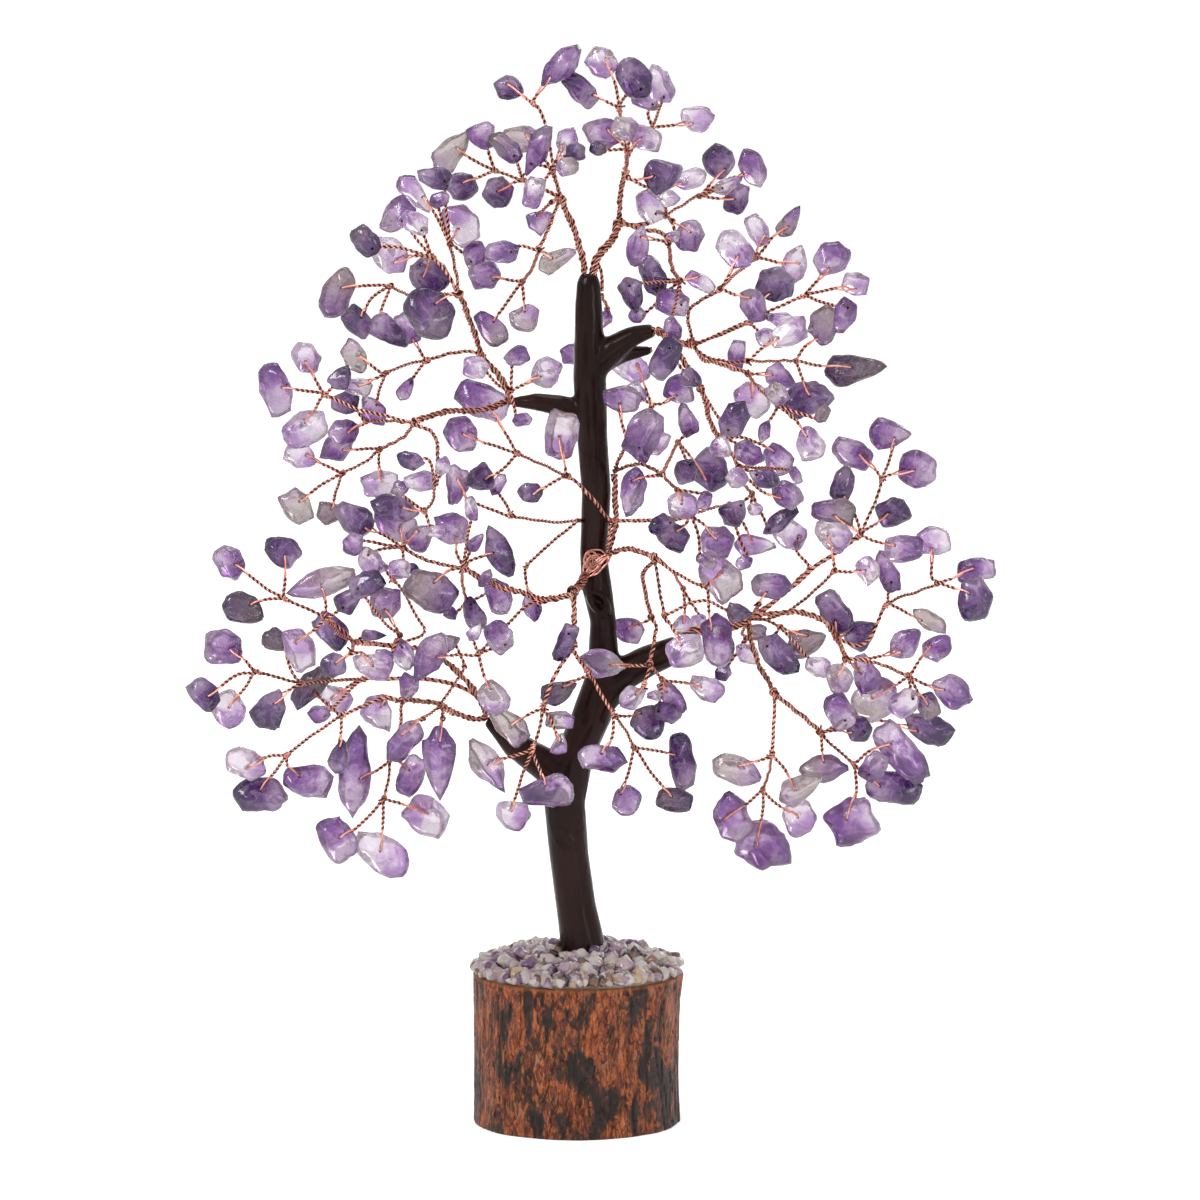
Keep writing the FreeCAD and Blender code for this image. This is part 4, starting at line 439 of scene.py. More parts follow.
# tint.r is how deep the bark lies, tint.g is 1 on sawn wood, tint.b is 1 on the cut rim
def makeBark():
    paint, look = Paint("bark_wood"), barkLook
    depth, isSawn, rim, _ = paint.tint()
    big = paint.mottle(105, 430, Stretch=0.50, Warp=1.1)
    fibre = paint.mottle(620, 2300, Stretch=0.38, Warp=1.3)
    cracks = paint.mottle(330, 900, Stretch=0.30, Warp=0.8)
    base = paint.over(look["orange"], fibre["Blotch"], 0.40, 0.58, look["red"])
    base = paint.over(base, big["Grain"], 0.54, 0.66, look["tan"])
    patch = paint.total(paint.span(fibre["Grain"], 0.35, 0.65, -0.05, 0.05), (big["Blotch"], 0.80),
                        (big["Grain"], 0.34), (fibre["Blotch"], 0.22), (depth, 0.16))
    base = paint.over(base, patch, 0.700, 0.755, look["dark"])
    base = paint.over(base, patch, 0.775, 0.850, look["black"])
    base = paint.mix(paint.calc("MULTIPLY", cracks["Vein"], 0.75), base, look["black"])
    base = paint.mix(1.0, base, paint.span(fibre["Grain"], 0.34, 0.66, 0.45, 1.55), "MULTIPLY")
    # growth rings round the log's middle
    rings = paint.add("TexWave", wave_type="RINGS", rings_direction="Z", Scale=95.0, Distortion=2.2, Detail=2.0,
                      Detail_Scale=1.2, Vector=paint.add("TexCoord").outputs["Object"])
    sawn = paint.mix(paint.calc("MULTIPLY", rings.outputs["Fac"], 0.6), look["sawn"], look["ring"])
    sawn = paint.mix(1.0, sawn, paint.span(big["Grain"], 0.3, 0.7, 0.8, 1.15), "MULTIPLY")
    base = paint.mix(isSawn, base, sawn)
    edge = paint.calc("MULTIPLY", rim, paint.span(big["Grain"], 0.3, 0.6))
    paint.set(Base_Color=paint.mix(edge, base, look["cutEdge"]), Specular_IOR_Level=0.35,
              Roughness=paint.span(fibre["Grain"], 0.3, 0.7, 0.36, 0.66))
    paint.bump(paint.total(fibre["Blotch"], (fibre["Grain"], 0.7), (cracks["Vein"], -0.6)), 0.8, 0.0009)


glueLook = {"amber": (0.52, 0.34, 0.26), "clear": (0.74, 0.63, 0.58)}


def makeGlue():
    paint = Paint("clear_glue")
    clouds = paint.mottle(300, 1500)
    paint.set(Base_Color=paint.over(glueLook["amber"], clouds["Blotch"], 0.3, 0.7, glueLook["clear"]),
              Roughness=paint.span(clouds["Grain"], 0.3, 0.7, 0.08, 0.22), Transmission_Weight=0.35, IOR=1.48)


for name, look in stoneLooks.items():
    makeStone(name, look)
makeCopper()
makeClay()
makeBark()
makeGlue()
for node, piece in frame["nodes"].items():
    piece.data.materials.clear()
    piece.data.materials.append(materials[slotOf[node]])
print("materials made:", len(materials))


# wires: 'strand' and the lengths are in millimetres, 'held', 'gain' and 'curve' say how dark the shade painted into a
# twist's middle is
wireLook = {"strand": 0.53, "pitch": 2.7, "pitchChange": 0.16, "step": 0.27, "sides": 6, "wobble": 0.36,
            "joinBack": 1.7, "slim": 0.92, "held": 0.76, "gain": 2.1, "curve": 1.3, "backTwist": 0.35,
            "openingLength": 1.9, "edge": 1.12, "overFace": 0.30, "tailLoop": 0.45, "bow": 0.28}
half = wireLook["strand"] / 2 * mm


# quads between rings of equal size, each ring closed on itself
def gridFaces(rings, sides):
    row = np.arange(rings - 1)[:, None] * sides
    k = np.arange(sides)[None, :]
    n = (k + 1) % sides
    return np.stack([row + k, row + n, row + sides + n, row + sides + k], 2).reshape(-1, 4)


# faces between two rings of points, or from a ring to its tip; turned is -1 where they face the other way
def band(ring, fresh, turned):
    return np.stack([ring, np.roll(ring, -1), np.roll(fresh, -1), fresh], 1)[:, ::turned]


def fan(ring, tip, turned):
    return np.stack([ring, np.roll(ring, -1), np.full(len(ring), tip)], 1)[:, ::turned]


# a round tube along a line; 'inward' points to the middle of its twist, where shade is painted dark into its colour;
# 'shade' adds painted shade all round
def addTube(maker, line, inward=None, shade=0.0, radius=half, sides=wireLook["sides"]):
    _, u, v = carryFrames(line)
    angle = np.arange(sides) * fullTurn / sides
    ring = np.cos(angle)[None, :, None] * u[:, None] + np.sin(angle)[None, :, None] * v[:, None]
    points = line[:, None] + ring * radius
    dark = np.full(points.shape[:2], shade)
    if inward is not None:
        facing = (ring * inward[:, None]).sum(2)
        held = wireLook["held"] * np.linalg.norm(inward, axis=1)[:, None]
        dark = np.clip(shade + wireLook["gain"] * np.clip(facing + held, 0, 1) ** wireLook["curve"], 0, 1)
    last = (len(line) - 1) * sides
    ends = [(0, k + 1, k) for k in range(1, sides - 1)]
    ends += [(last, last + k, last + k + 1) for k in range(1, sides - 1)]
    tint = np.zeros((len(line) * sides, 4))
    tint[:, 0], tint[:, 3] = dark.ravel(), 1
    maker.add(points.reshape(-1, 3), gridFaces(len(line), sides), ends, tint)


def evenLine(route):
    return smoothLine(route, wireLook["step"] * mm)


def wander(line, amount, seed):
    shift = np.array([noise.noise_vector(Vector(p / mm * 0.16) + Vector((seed * 3.1, 7.7, seed))) for p in line])
    place = np.arange(len(line))
    fade = np.minimum(1, np.minimum(place, place[::-1]) / 6)
    return line + shift * (amount * mm * fade)[:, None]


# length along a line for its twist: a wire that runs back into the crown is twisted more loosely
def twistRun(line):
    return lengthAlong(line, (1, wireLook["backTwist"], 1))


def pitchOf(seed):
    return wireLook["pitch"] * (1 + wireLook["pitchChange"] * math.sin(seed * 5.3)) * mm


# where a twisted pair's two strands run and which way their middle lies, where shade is painted
def pairStrands(line, phase, pitch):
    _, u, v = carryFrames(line)
    turn = phase + fullTurn * twistRun(line) / pitch
    outs = [around(turn + math.pi * k, u, v) for k in (0, 1)]
    return [(line + out * half, -out) for out in outs]


def addPair(maker, line, phase):
    for path, inward in pairStrands(line, phase, pitchOf(phase)):
        addTube(maker, path, inward)


# bundles: under 'pairTo' a pair, under 'groupTo' strands in two groups, above that pairs round a middle tube painted
# dark as shade
ropeLook = {"pairTo": 1.0, "fourFrom": 1.2, "groupTo": 1.55, "groupPitch": 1.2, "aside": 0.62, "fill": 1.08,
            "pitch": 4.7, "spin": 5.0, "sink": 0.85, "around": 1.05, "core": 0.25, "coreShade": 0.9, "swell": 0.13,
            "sway": 0.22}


def addRope(maker, line, size, seed):
    size *= wireLook["slim"]
    if size < ropeLook["pairTo"]:
        addPair(maker, line, seed)
        return
    rand = random.Random(seed * 91.7)
    _, u, v = carryFrames(line)
    run = twistRun(line)
    if size < ropeLook["groupTo"]:
        # strands side by side in two groups, each with shade painted towards the middle of its group and bright only
        # on the outside
        lay = seed + fullTurn * run / (pitchOf(seed) * ropeLook["groupPitch"])
        lay = lay + 0.35 * np.sin(run / mm * rand.uniform(0.4, 0.8))
        both = (-ropeLook["aside"], ropeLook["aside"])
        for group, asides in enumerate((both, (0,) if size < ropeLook["fourFrom"] else both)):
            facing = around(lay + math.pi * group, u, v)
            for aside in asides:
                angle = lay + math.pi * group + aside + rand.uniform(-0.1, 0.1)
                swell = 1 + 0.12 * np.sin(run / mm * rand.uniform(0.7, 1.3))
                reach = (size * ropeLook["fill"] - wireLook["strand"]) / 2 * swell
                addTube(maker, line + around(angle, u, v) * reach[:, None] * mm, -facing * 0.95)
        return
    pairReach = size / 2 - wireLook["strand"] * ropeLook["sink"]
    count = max(3, int(round(fullTurn * pairReach / ropeLook["around"])))
    # a dark tube in the middle: painted shade that shows between the pairs
    addTube(maker, line, shade=ropeLook["coreShade"], radius=max(0.15, pairReach - ropeLook["core"]) * mm, sides=8)
    for k in range(count):
        lag = rand.uniform(-0.24, 0.24)
        swell = ropeLook["swell"] * np.sin(run / mm * rand.uniform(0.5, 1.1) + k * 2)
        angle = fullTurn * ((k + lag) / count + run / (ropeLook["pitch"] * size * mm))
        out = around(angle + ropeLook["sway"] * np.sin(run / mm * rand.uniform(0.3, 0.7) + k * 1.7), u, v)
        middle = line + out * (pairReach + swell[:, None]) * mm
        tilt = units(np.cross(np.gradient(middle, axis=0), out))
        spin = rand.uniform(0, 6) + fullTurn * run / (ropeLook["spin"] * rand.uniform(0.8, 1.3) * mm)
        # each strand has shade painted towards its pair's middle, and a random share of painted shade
        for j in range(2):
            arm = around(spin + math.pi * j, out, tilt)
            addTube(maker, middle + arm * half, -(arm * 0.75 + out * 0.45), rand.uniform(0, 0.25))


knotLook = {"turns": (1.1, 2.3), "length": 1.5, "uneven": 0.15, "tailFrom": 3, "tail": (0.8, 1.5)}


# a strand wound once or twice round the end of a bundle, with a short cut end at some forks
def addKnot(maker, end, way, size, seed):
    rand = random.Random(seed * 13.7)
    turns = rand.uniform(*knotLook["turns"])
    at = np.linspace(0, 1, int(turns * 16))
    angle = rand.uniform(0, 6.28) + fullTurn * turns * at
    out = around(angle, *acrossWay(way, [0.3, 1.0, 0.1]))
    reach = (size * wireLook["slim"] + wireLook["strand"] * 0.7) / 2 * mm * (
        1 + knotLook["uneven"] * np.sin(at * 9 + seed))
    path = end + way * ((at - 0.6) * knotLook["length"] * mm)[:, None] + out * reach[:, None]
    if int(seed * 7) % knotLook["tailFrom"] == 0:
        leave = unit(np.gradient(path, axis=0)[-1]) * 0.5 + out[-1] * 0.8
        steps = np.linspace(0.2, rand.uniform(*knotLook["tail"]), 5)[:, None] * mm
        path = np.vstack([path, path[-1] + leave * steps])
        out = np.vstack([out, np.repeat(out[-1:], 5, 0)])
    # shade painted on the side of the winding towards the bundle
    addTube(maker, path, -out)


# stones: a rounded body inside a solid's planes
chipLook = {"around": 36, "rings": 26, "round": (15.0, 38.0), "cuts": 7, "cutShare": (0.83, 0.96), "swell": 1.085,
            "lump": 0.10, "fineLump": 0.016, "blunt": (0.60, 0.86)}
grainLook = {"around": 14, "rings": 10, "round": (16.0, 34.0), "cuts": 9, "cutShare": (0.68, 0.93), "swell": 1.09,
             "lump": 0.06, "fineLump": 0.02}
# a drilled hole: its half width, then share of the rim, drop in millimetres and painted shade of each ring inside it
holeLook = {"half": 0.40, "deep": 1.6, "rings": ((0.86, 0.12, 0.5), (0.80, 0.35, 1.0), (0.78, None, 1.0))}


class StoneBody:
    # a blend of the solid's outer planes and a few random cuts, with its longest direction
    def __init__(self, points, faces, look, seed):
        rand = random.Random(seed)
        self.seed = seed
        normals = faceNormals(points, faces)
        offsets = (normals * points[faces[:, 0]]).sum(1)
        planes = []
        for n, d in zip(normals, offsets):
            if (points @ n).max() < d + 2e-6 and not any(n @ m > 0.9995 for m, _ in planes):
                planes.append((n, d))
        hull = np.array([p for p in points if any(abs(p @ n - d) < 3e-6 for n, d in planes)])
        self.centre = (hull.max(0) + hull.min(0)) / 2

        def cut(n, shares):
            n = n / np.linalg.norm(n)
            reach = ((hull - self.centre) @ n).max()
            planes.append((n, self.centre @ n + reach * rand.uniform(*shares)))
        for _ in range(look["cuts"]):
            cut(np.array([rand.gauss(0, 1), rand.gauss(0, 1) * 1.2, rand.gauss(0, 1)]), look["cutShare"])
        for face in (-1, 1) if "blunt" in look else ():      # a broad face in front and behind
            cut(np.array([rand.gauss(0, 0.2), face, rand.gauss(0, 0.2)]), look["blunt"])
        outward = np.array([n for n, _ in planes])
        heights = np.array([d for _, d in planes]) - outward @ self.centre
        heights = np.maximum(heights, 0.15 * heights.max()) * look["swell"]
        self.ways = (outward / heights[:, None]).T
        self.power = rand.uniform(*look["round"])
        spread = hull - hull.mean(0)
        _, _, axes = np.linalg.svd(spread, full_matrices=False)
        self.longWay = axes[0] * (1 if rand.random() < 0.5 else -1)
        self.halfLength = max(np.abs(spread @ self.longWay).max(), 1e-6)

    # under 1 inside the stone, 1 on its skin
    def gauge(self, p):
        d = p - self.centre
        share = sum(d[..., k, None] * self.ways[k] for k in range(3))
        return (np.maximum(share, 0) ** self.power).sum(-1) ** (1 / self.power)

    # how far the skin is from a point inside, along each of some ways
    def reachFrom(self, start, ways):
        low, high = np.zeros(len(ways)), np.full(len(ways), 0.045)
        for _ in range(22):
            mid = (low + high) / 2
            inside = self.gauge(start + ways * mid[:, None]) < 1
            low, high = np.where(inside, mid, low), np.where(inside, high, mid)
        return low


def lumpy(points, body, look):
    shift = []
    for p in points:
        q = Vector(p / mm * 0.17) + Vector((body.seed * 1.7, 0, body.seed * 0.9))
        wave = noise.noise(q) * look["lump"] * 1.5 - abs(noise.noise(q * 1.7)) * look["lump"] * 1.1
        shift.append(1 + wave + noise.noise(q * 5.5) * look["fineLump"])
    return body.centre + (points - body.centre) * np.array(shift)[:, None]


# start and axis are a point inside the stone and the way of its drilled hole
def addStone(maker, body, look, start, axis, frontHole=False, backHole=False):
    count, rings = look["around"], look["rings"]
    front, back = body.reachFrom(start, np.array([axis, -axis]))
    edges = [math.atan2(holeLook["half"] * mm, reach) if hole else 0.5 / rings
             for hole, reach in ((frontHole, front), (backHole, back))]
    polar = np.linspace(edges[0], math.pi - edges[1], rings)
    circle = around(np.arange(count) * fullTurn / count, *acrossWay(axis, [0, 0, 1.0]))
    ways = (np.cos(polar)[:, None, None] * axis + np.sin(polar)[:, None, None] * circle).reshape(-1, 3)
    skin = start + ways * body.reachFrom(start, ways)[:, None]
    fade = np.ones(len(skin))
    if frontHole:
        fade[:2 * count] = np.repeat([0.0, 0.5], count)
    if backHole:
        fade[-2 * count:] = np.repeat([0.5, 0.0], count)
    skin = skin + (lumpy(skin, body, look) - skin) * fade[:, None]
    tint = np.zeros((len(skin), 4))
    tint[:, 0] = body.seed % 1.0
    tint[:, 1] = np.clip(((skin - body.centre) @ body.longWay / body.halfLength + 1) / 2, 0, 1)
    tint[:, 2] = np.array([noise.noise(Vector(p / mm * 0.3)) for p in skin]) * 0.5 + 0.5
    quads, tris, points, tints = [gridFaces(rings, count)[:, ::-1]], [], [skin], [tint]
    total = rings * count

    def closeEnd(first, hole, way, reach, turned):
        nonlocal total
        edge, row = skin[first:first + count], tint[first:first + count]
        ring, middle = np.arange(count) + first, edge.mean(0)
        if hole:
            height = (edge - start) @ way
            out = edge - start - height[:, None] * way
            # rings dropping into the hole, each with its painted shade
            for share, drop, dark in holeLook["rings"]:
                drop = min(holeLook["deep"] * mm, reach * 0.8) if drop is None else drop * mm
                points.append(start + out * share + (height - drop)[:, None] * way)
                row = row.copy()
                row[:, 3] = dark
                tints.append(row)
                fresh = np.arange(count) + total
                total += count
                quads.append(band(ring, fresh, turned))
                ring = fresh
            middle = points[-1].mean(0)
        points.append(middle[None])
        tints.append(row[:1])
        tris.append(fan(ring, total, turned))
        total += 1
    closeEnd(0, frontHole, axis, front, 1)
    closeEnd((rings - 1) * count, backHole, -axis, back, -1)
    maker.add(np.concatenate(points), np.concatenate(quads), np.concatenate(tris), np.concatenate(tints))


# which chip hangs on which wire, limb by limb; lengths in millimetres
matchLook = {"tones": ("deep", "violet", "pale"), "straight": 0.99, "far": 20.0}


# the ends of a wire that run straight back, through a chip
def straightBack(line):
    ways = ((0, line[0] - line[1]), (-1, line[-1] - line[-2]))
    return [end for end, way in ways if abs(unit(way)[1]) > matchLook["straight"]] or [0, -1]


def readLimb(limb):
    chips = []
    for tone in matchLook["tones"]:
        node = "%s_chips_%s" % (limb, tone)
        for points, faces in looseSolids(node) if node in frame["nodes"] else ():
            middle = points.mean(0)
            body = StoneBody(points, faces, chipLook, round(abs(middle[0] * 911 + middle[2] * 577), 4))
            chips.append({"node": node, "body": body, "twig": None})
    twigs = []
    for points, faces in looseSolids(limb + "_twigs"):
        found = barLine(points, faces)
        twigs.append(found[0] if found else roughLine(points))
    pairs = []
    for t, line in enumerate(twigs):
        for end in straightBack(line):
            tip, before = (line[-1], line[-2]) if end == -1 else (line[0], line[1])
            for c, chip in enumerate(chips):
                if np.linalg.norm(tip - chip["body"].centre) > matchLook["far"] * mm:
                    continue
                score = min(chip["body"].gauge(p) for p in (tip, (tip + before) / 2, tip * 0.7 + before * 0.3))
                pairs.append((score, t, c, end))
    pairs.sort(key=lambda row: row[0])
    used = set()
    for score, t, c, end in pairs:
        if t not in used and chips[c]["twig"] is None:
            used.add(t)
            chips[c]["twig"], chips[c]["score"] = twigs[t] if end == -1 else twigs[t][::-1], score
    spare = [line for t, line in enumerate(twigs) if t not in used]
    return chips, spare, [barLine(*solid) for solid in looseSolids(limb + "_stems")]


limbs = sorted({n[:-6] for n in frame["nodes"] if n.endswith("_stems")})
layout = {limb: readLimb(limb) for limb in limbs}
worst = max(c.get("score", 9) for chips, _, _ in layout.values() for c in chips)
print("chips read:", sum(len(l[0]) for l in layout.values()), "spare wires:",
      sum(len(l[1]) for l in layout.values()), "worst match %.2f" % worst)

# ends of every stem, so that what grows from a fork starts inside the bundle before it
stemEnds = []
for _, _, stems in layout.values():
    for line, size in stems:
        stemEnds += [(end, unit(end - before)) for end, before in ((line[-1], line[-2]), (line[0], line[1]))]
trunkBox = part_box("trunk_clay")
# the trunk's round top, where two bundles come out; lengths in millimetres
topLook = {"middle": 3.0, "reach": 4.0, "from": (2.8, 3.1), "lean": 0.9, "under": 2.4}
forkLook = {"reach": 4.5, "behind": 0.3, "across": 0.35}


def growFrom(line):
    start = line[0]
    if start[2] > trunkBox[1].z and abs(start[0] - topLook["middle"] * mm) < topLook["reach"] * mm:
        x = topLook["from"][0] * mm + (start[0] - topLook["from"][1] * mm) * topLook["lean"]
        return np.vstack([[x, start[1], trunkBox[1].z - topLook["under"] * mm], line])
    best = None
    for end, way in stemEnds:
        gap = start - end
        far = np.linalg.norm(gap)
        if 1e-5 <= far <= forkLook["reach"] * mm and gap @ way >= -forkLook["behind"] * mm:
            if best is None or far < best[0]:
                best = (far, end, way, gap)
    if best is None:
        return line
    _, end, way, gap = best
    across = gap - way * (gap @ way)
    return np.vstack([[end - way * wireLook["joinBack"] * mm + across * forkLook["across"]], line])


# a run over a stone from start to goal, bowed aside, that keeps a strand's half width clear of it
def skim(body, start, goal, side, bow):
    steps = max(6, int(np.linalg.norm(goal - start) / (0.35 * mm)))
    share = np.linspace(0, 1, steps)[:, None]
    path = start + (goal - start) * share + bow * np.sin(share * math.pi)
    for _ in range(14):
        sunk = body.gauge(path) < 1 + wireLook["strand"] * 0.125
        sunk[0] = False
        if not sunk.any():
            break
        path[sunk] = path[sunk] + side * 0.16 * mm
    return path


# the wire of one chip: a twisted pair that opens, goes over the face, through the hole and back
def addTwig(maker, chip, number):
    body, route = chip["body"], chip["twig"]
    last, hidden = route[-1], route[-2]
    axis = (hidden - last) / np.linalg.norm(last - hidden)       # out of the hole, to where the wire comes from
    middle = (last + hidden) / 2
    inside = body.gauge(middle) < 1
    line = wander(evenLine(growFrom(route[:-1])), wireLook["wobble"], number * 0.77)
    if not (inside and body.gauge(last) > 1 and body.gauge(hidden) > 1):
        tail = evenLine(np.vstack([line[-2], hidden, last]))
        addPair(maker, np.vstack([line[:-1], tail]), number)
        return {"axis": axis, "point": middle if inside else body.centre, "front": False, "back": inside}
    run = lengthAlong(line)
    # the pair ends where it meets the stone's edge
    outline = np.array([body.gauge(p - axis * ((p - middle) @ axis)) for p in line])
    near = np.nonzero(outline < wireLook["edge"])[0]
    cut = near[0] if len(near) else len(line) - 2
    cut = int(np.searchsorted(run, max(run[cut] - wireLook["openingLength"] * mm * 0.5, run[-1] * 0.25)))
    cut = min(max(cut, 3), len(line) - 2)
    strands = pairStrands(line[:cut + 1], number, wireLook["pitch"] * mm)
    front, back = body.reachFrom(middle, np.array([axis, -axis]))
    mouth = middle + axis * (front + wireLook["overFace"] * mm)
    rear = middle - axis * (back + wireLook["tailLoop"] * mm)
    # the strand nearer the mouth goes over the face, the other comes back behind
    far = [np.linalg.norm(path[-1] - mouth) for path, _ in strands]
    over, under = strands if far[0] < far[1] else strands[::-1]
    leave = unit(line[cut] - line[max(0, cut - 3)])
    bow = np.cross(leave, axis) * (wireLook["bow"] if number % 2 else -wireLook["bow"]) * mm
    go = skim(body, over[0][-1], mouth, axis, bow)
    dive = np.array([mouth - axis * 0.25 * mm, middle + axis * front * 0.2, middle - axis * back * 0.5, rear])
    home = skim(body, under[0][-1], rear, -axis, -bow)[::-1]
    path = np.vstack([over[0][:-1], go, dive, home[1:], under[0][::-1][1:]])
    # shade is painted into the twisted part, not into the run over the stone
    inward = np.vstack([over[1][:-1], np.zeros((len(go) + len(dive) + len(home) - 1, 3)), under[1][::-1][1:]])
    # even out the corners of the loop
    first, end = len(over[0]) - 3, len(over[0]) + len(go) + len(dive) + len(home) + 1
    for _ in range(2):
        path[first:end] = (path[first - 1:end - 1] + 2 * path[first:end] + path[first + 1:end + 1]) / 4
    addTube(maker, path, inward)
    return {"axis": axis, "point": middle, "front": True, "back": True}


number = 0
for limb in limbs:
    chips, spare, stems = layout[limb]
    twigMaker, stemMaker, makers = MeshMaker(), MeshMaker(), {}
    for chip in chips:
        number += 1
        body = chip["body"]
        hole = {"axis": np.array([0, -1.0, 0]), "point": body.centre, "front": False, "back": False}
        if chip["twig"] is not None:
            hole = addTwig(twigMaker, chip, number)
        if body.gauge(hole["point"]) > 0.85:
            hole.update(point=body.centre, front=False, back=False)
        maker = makers.setdefault(chip["node"], MeshMaker())
        addStone(maker, body, chipLook, hole["point"], hole["axis"], hole["front"], hole["back"])
    for line in spare:
        addPair(twigMaker, evenLine(growFrom(line)), 0)
    twigMaker.build(limb + "_twig_wires", limb + "_twigs")
    for node, maker in makers.items():
        maker.build(node.replace("_chips_", "_stones_"), node)
    for k, (line, size) in enumerate(stems):
        path = wander(evenLine(growFrom(line)), wireLook["wobble"], k + number)
        addRope(stemMaker, path, size / mm, k + 0.5)
        way = path[-1] - path[-4]
        addKnot(stemMaker, path[-1], way / np.linalg.norm(way), size / mm, k + number * 0.31)
    stemMaker.build(limb + "_stem_wires", limb + "_stems")
    print("limb done:", limb, len(chips), "stones", len(stems), "stems")


# trunk: the CAD coat remeshed fine, smoothed and lumped by hand-like dents, with knots at x and z in millimetres
trunkLook = {"voxel": 0.5, "smoothing": 18, "lump": 0.26, "dent": 0.10,
             "knots": [((5.6, 142.8), 2.1, 1.7), ((-4.0, 78.0), 2.2, 0.35), ((6.5, 126.0), 2.4, 0.3)]}


def makeTrunk():
    piece = bpy.data.objects.new("trunk_coat", frame["nodes"]["trunk_clay"].data.copy())
    bpy.context.scene.collection.objects.link(piece)
    piece.modifiers.new("weld", "WELD").merge_threshold = 1e-6
    remesh = piece.modifiers.new("remesh", "REMESH")
    remesh.mode, remesh.voxel_size = "VOXEL", trunkLook["voxel"] * mm
    smooth = piece.modifiers.new("smooth", "SMOOTH")
    smooth.factor, smooth.iterations = 0.6, trunkLook["smoothing"]
    mesh = bpy.data.meshes.new_from_object(piece.evaluated_get(bpy.context.evaluated_depsgraph_get()))
    piece.modifiers.clear()
    piece.data = mesh
    spots, normals = readRows(mesh.vertices, "co"), readRows(mesh.vertices, "normal")
    for k, spot in enumerate(spots):
        p = Vector(spot) / mm
        q = Vector((p.x * 0.20, p.y * 0.20, p.z * 0.055))
        move = noise.noise(q) * trunkLook["lump"] - abs(noise.noise(q * 2.7)) * trunkLook["dent"]
        for (x, z), wide, deep in trunkLook["knots"] if p.y < 0 else ():
            far = math.hypot((p.x - x) + (p.z - z) * 0.45, (p.z - z) * 0.72) / wide
            move += -deep * math.exp(-far * far * 3) + deep * 0.55 * math.exp(-(far - 0.95) ** 2 * 9)
        spots[k] = spot + normals[k] * move * mm
    mesh.vertices.foreach_set("co", spots.ravel())
    handIn(piece, "trunk_clay")
    print("trunk made:", len(mesh.vertices), "points")


makeTrunk()


# the wires inside the clay: plain tubes with some painted shade where they are hidden, a rope where they come out;
# lengths in millimetres
coreLook = {"shown": 11.0, "topTrim": 4.2, "thick": 3.0}


def makeCores():
    maker = MeshMaker()
    trunkMiddle = np.array((trunkBox[0] + trunkBox[1]) / 2)
    shown = int(coreLook["shown"] / wireLook["step"])
    for k, (points, faces) in enumerate(looseSolids("trunk_wire_core")):
        line, size = barLine(points, faces)
        if line[0][2] > line[-1][2] and len(line) > 6:
            line = line[::-1]
        path = evenLine(line)
        if size > coreLook["thick"] * mm:
            path = path[path[:, 2] < path[-1][2] - coreLook["topTrim"] * mm]
            addTube(maker, path[::8], shade=0.3, radius=size * 0.45, sides=10)
            continue
        if np.hypot(*(path[-1] - trunkMiddle)[:2]) <= np.hypot(*(path[0] - trunkMiddle)[:2]):
            path = path[::-1]
        addTube(maker, path[:-shown + 4:4], shade=0.3, radius=size * 0.42)
        addRope(maker, path[-shown:], size / mm, k + 7.7)
    maker.build("core_bundles", "trunk_wire_core")


makeCores()


# bundles on the trunk
def makeTrunkWires():
    maker = MeshMaker()
    for k, (points, faces) in enumerate(looseSolids("trunk_wire_runs")):
        line, size = barLine(points, faces)
        addRope(maker, wander(evenLine(line), 0.12, k + 40), size / mm, k + 3.3)
    maker.build("trunk_bundles", "trunk_wire_runs")


# the knot on the trunk where the bundles meet: loose loops round a middle painted dark as shade; lengths in
# millimetres
rosetteLook = {"loops": 12, "small": 0.8, "turns": (0.9, 1.7), "flat": (0.45, 0.95), "spread": 0.86, "sway": 0.35,
               "asideX": (-1.1, 0.8), "asideZ": (-0.7, 1.0), "through": 5, "bow": 0.9,
               "right": (3.9, 2.3), "left": (-2.9, -3.9)}


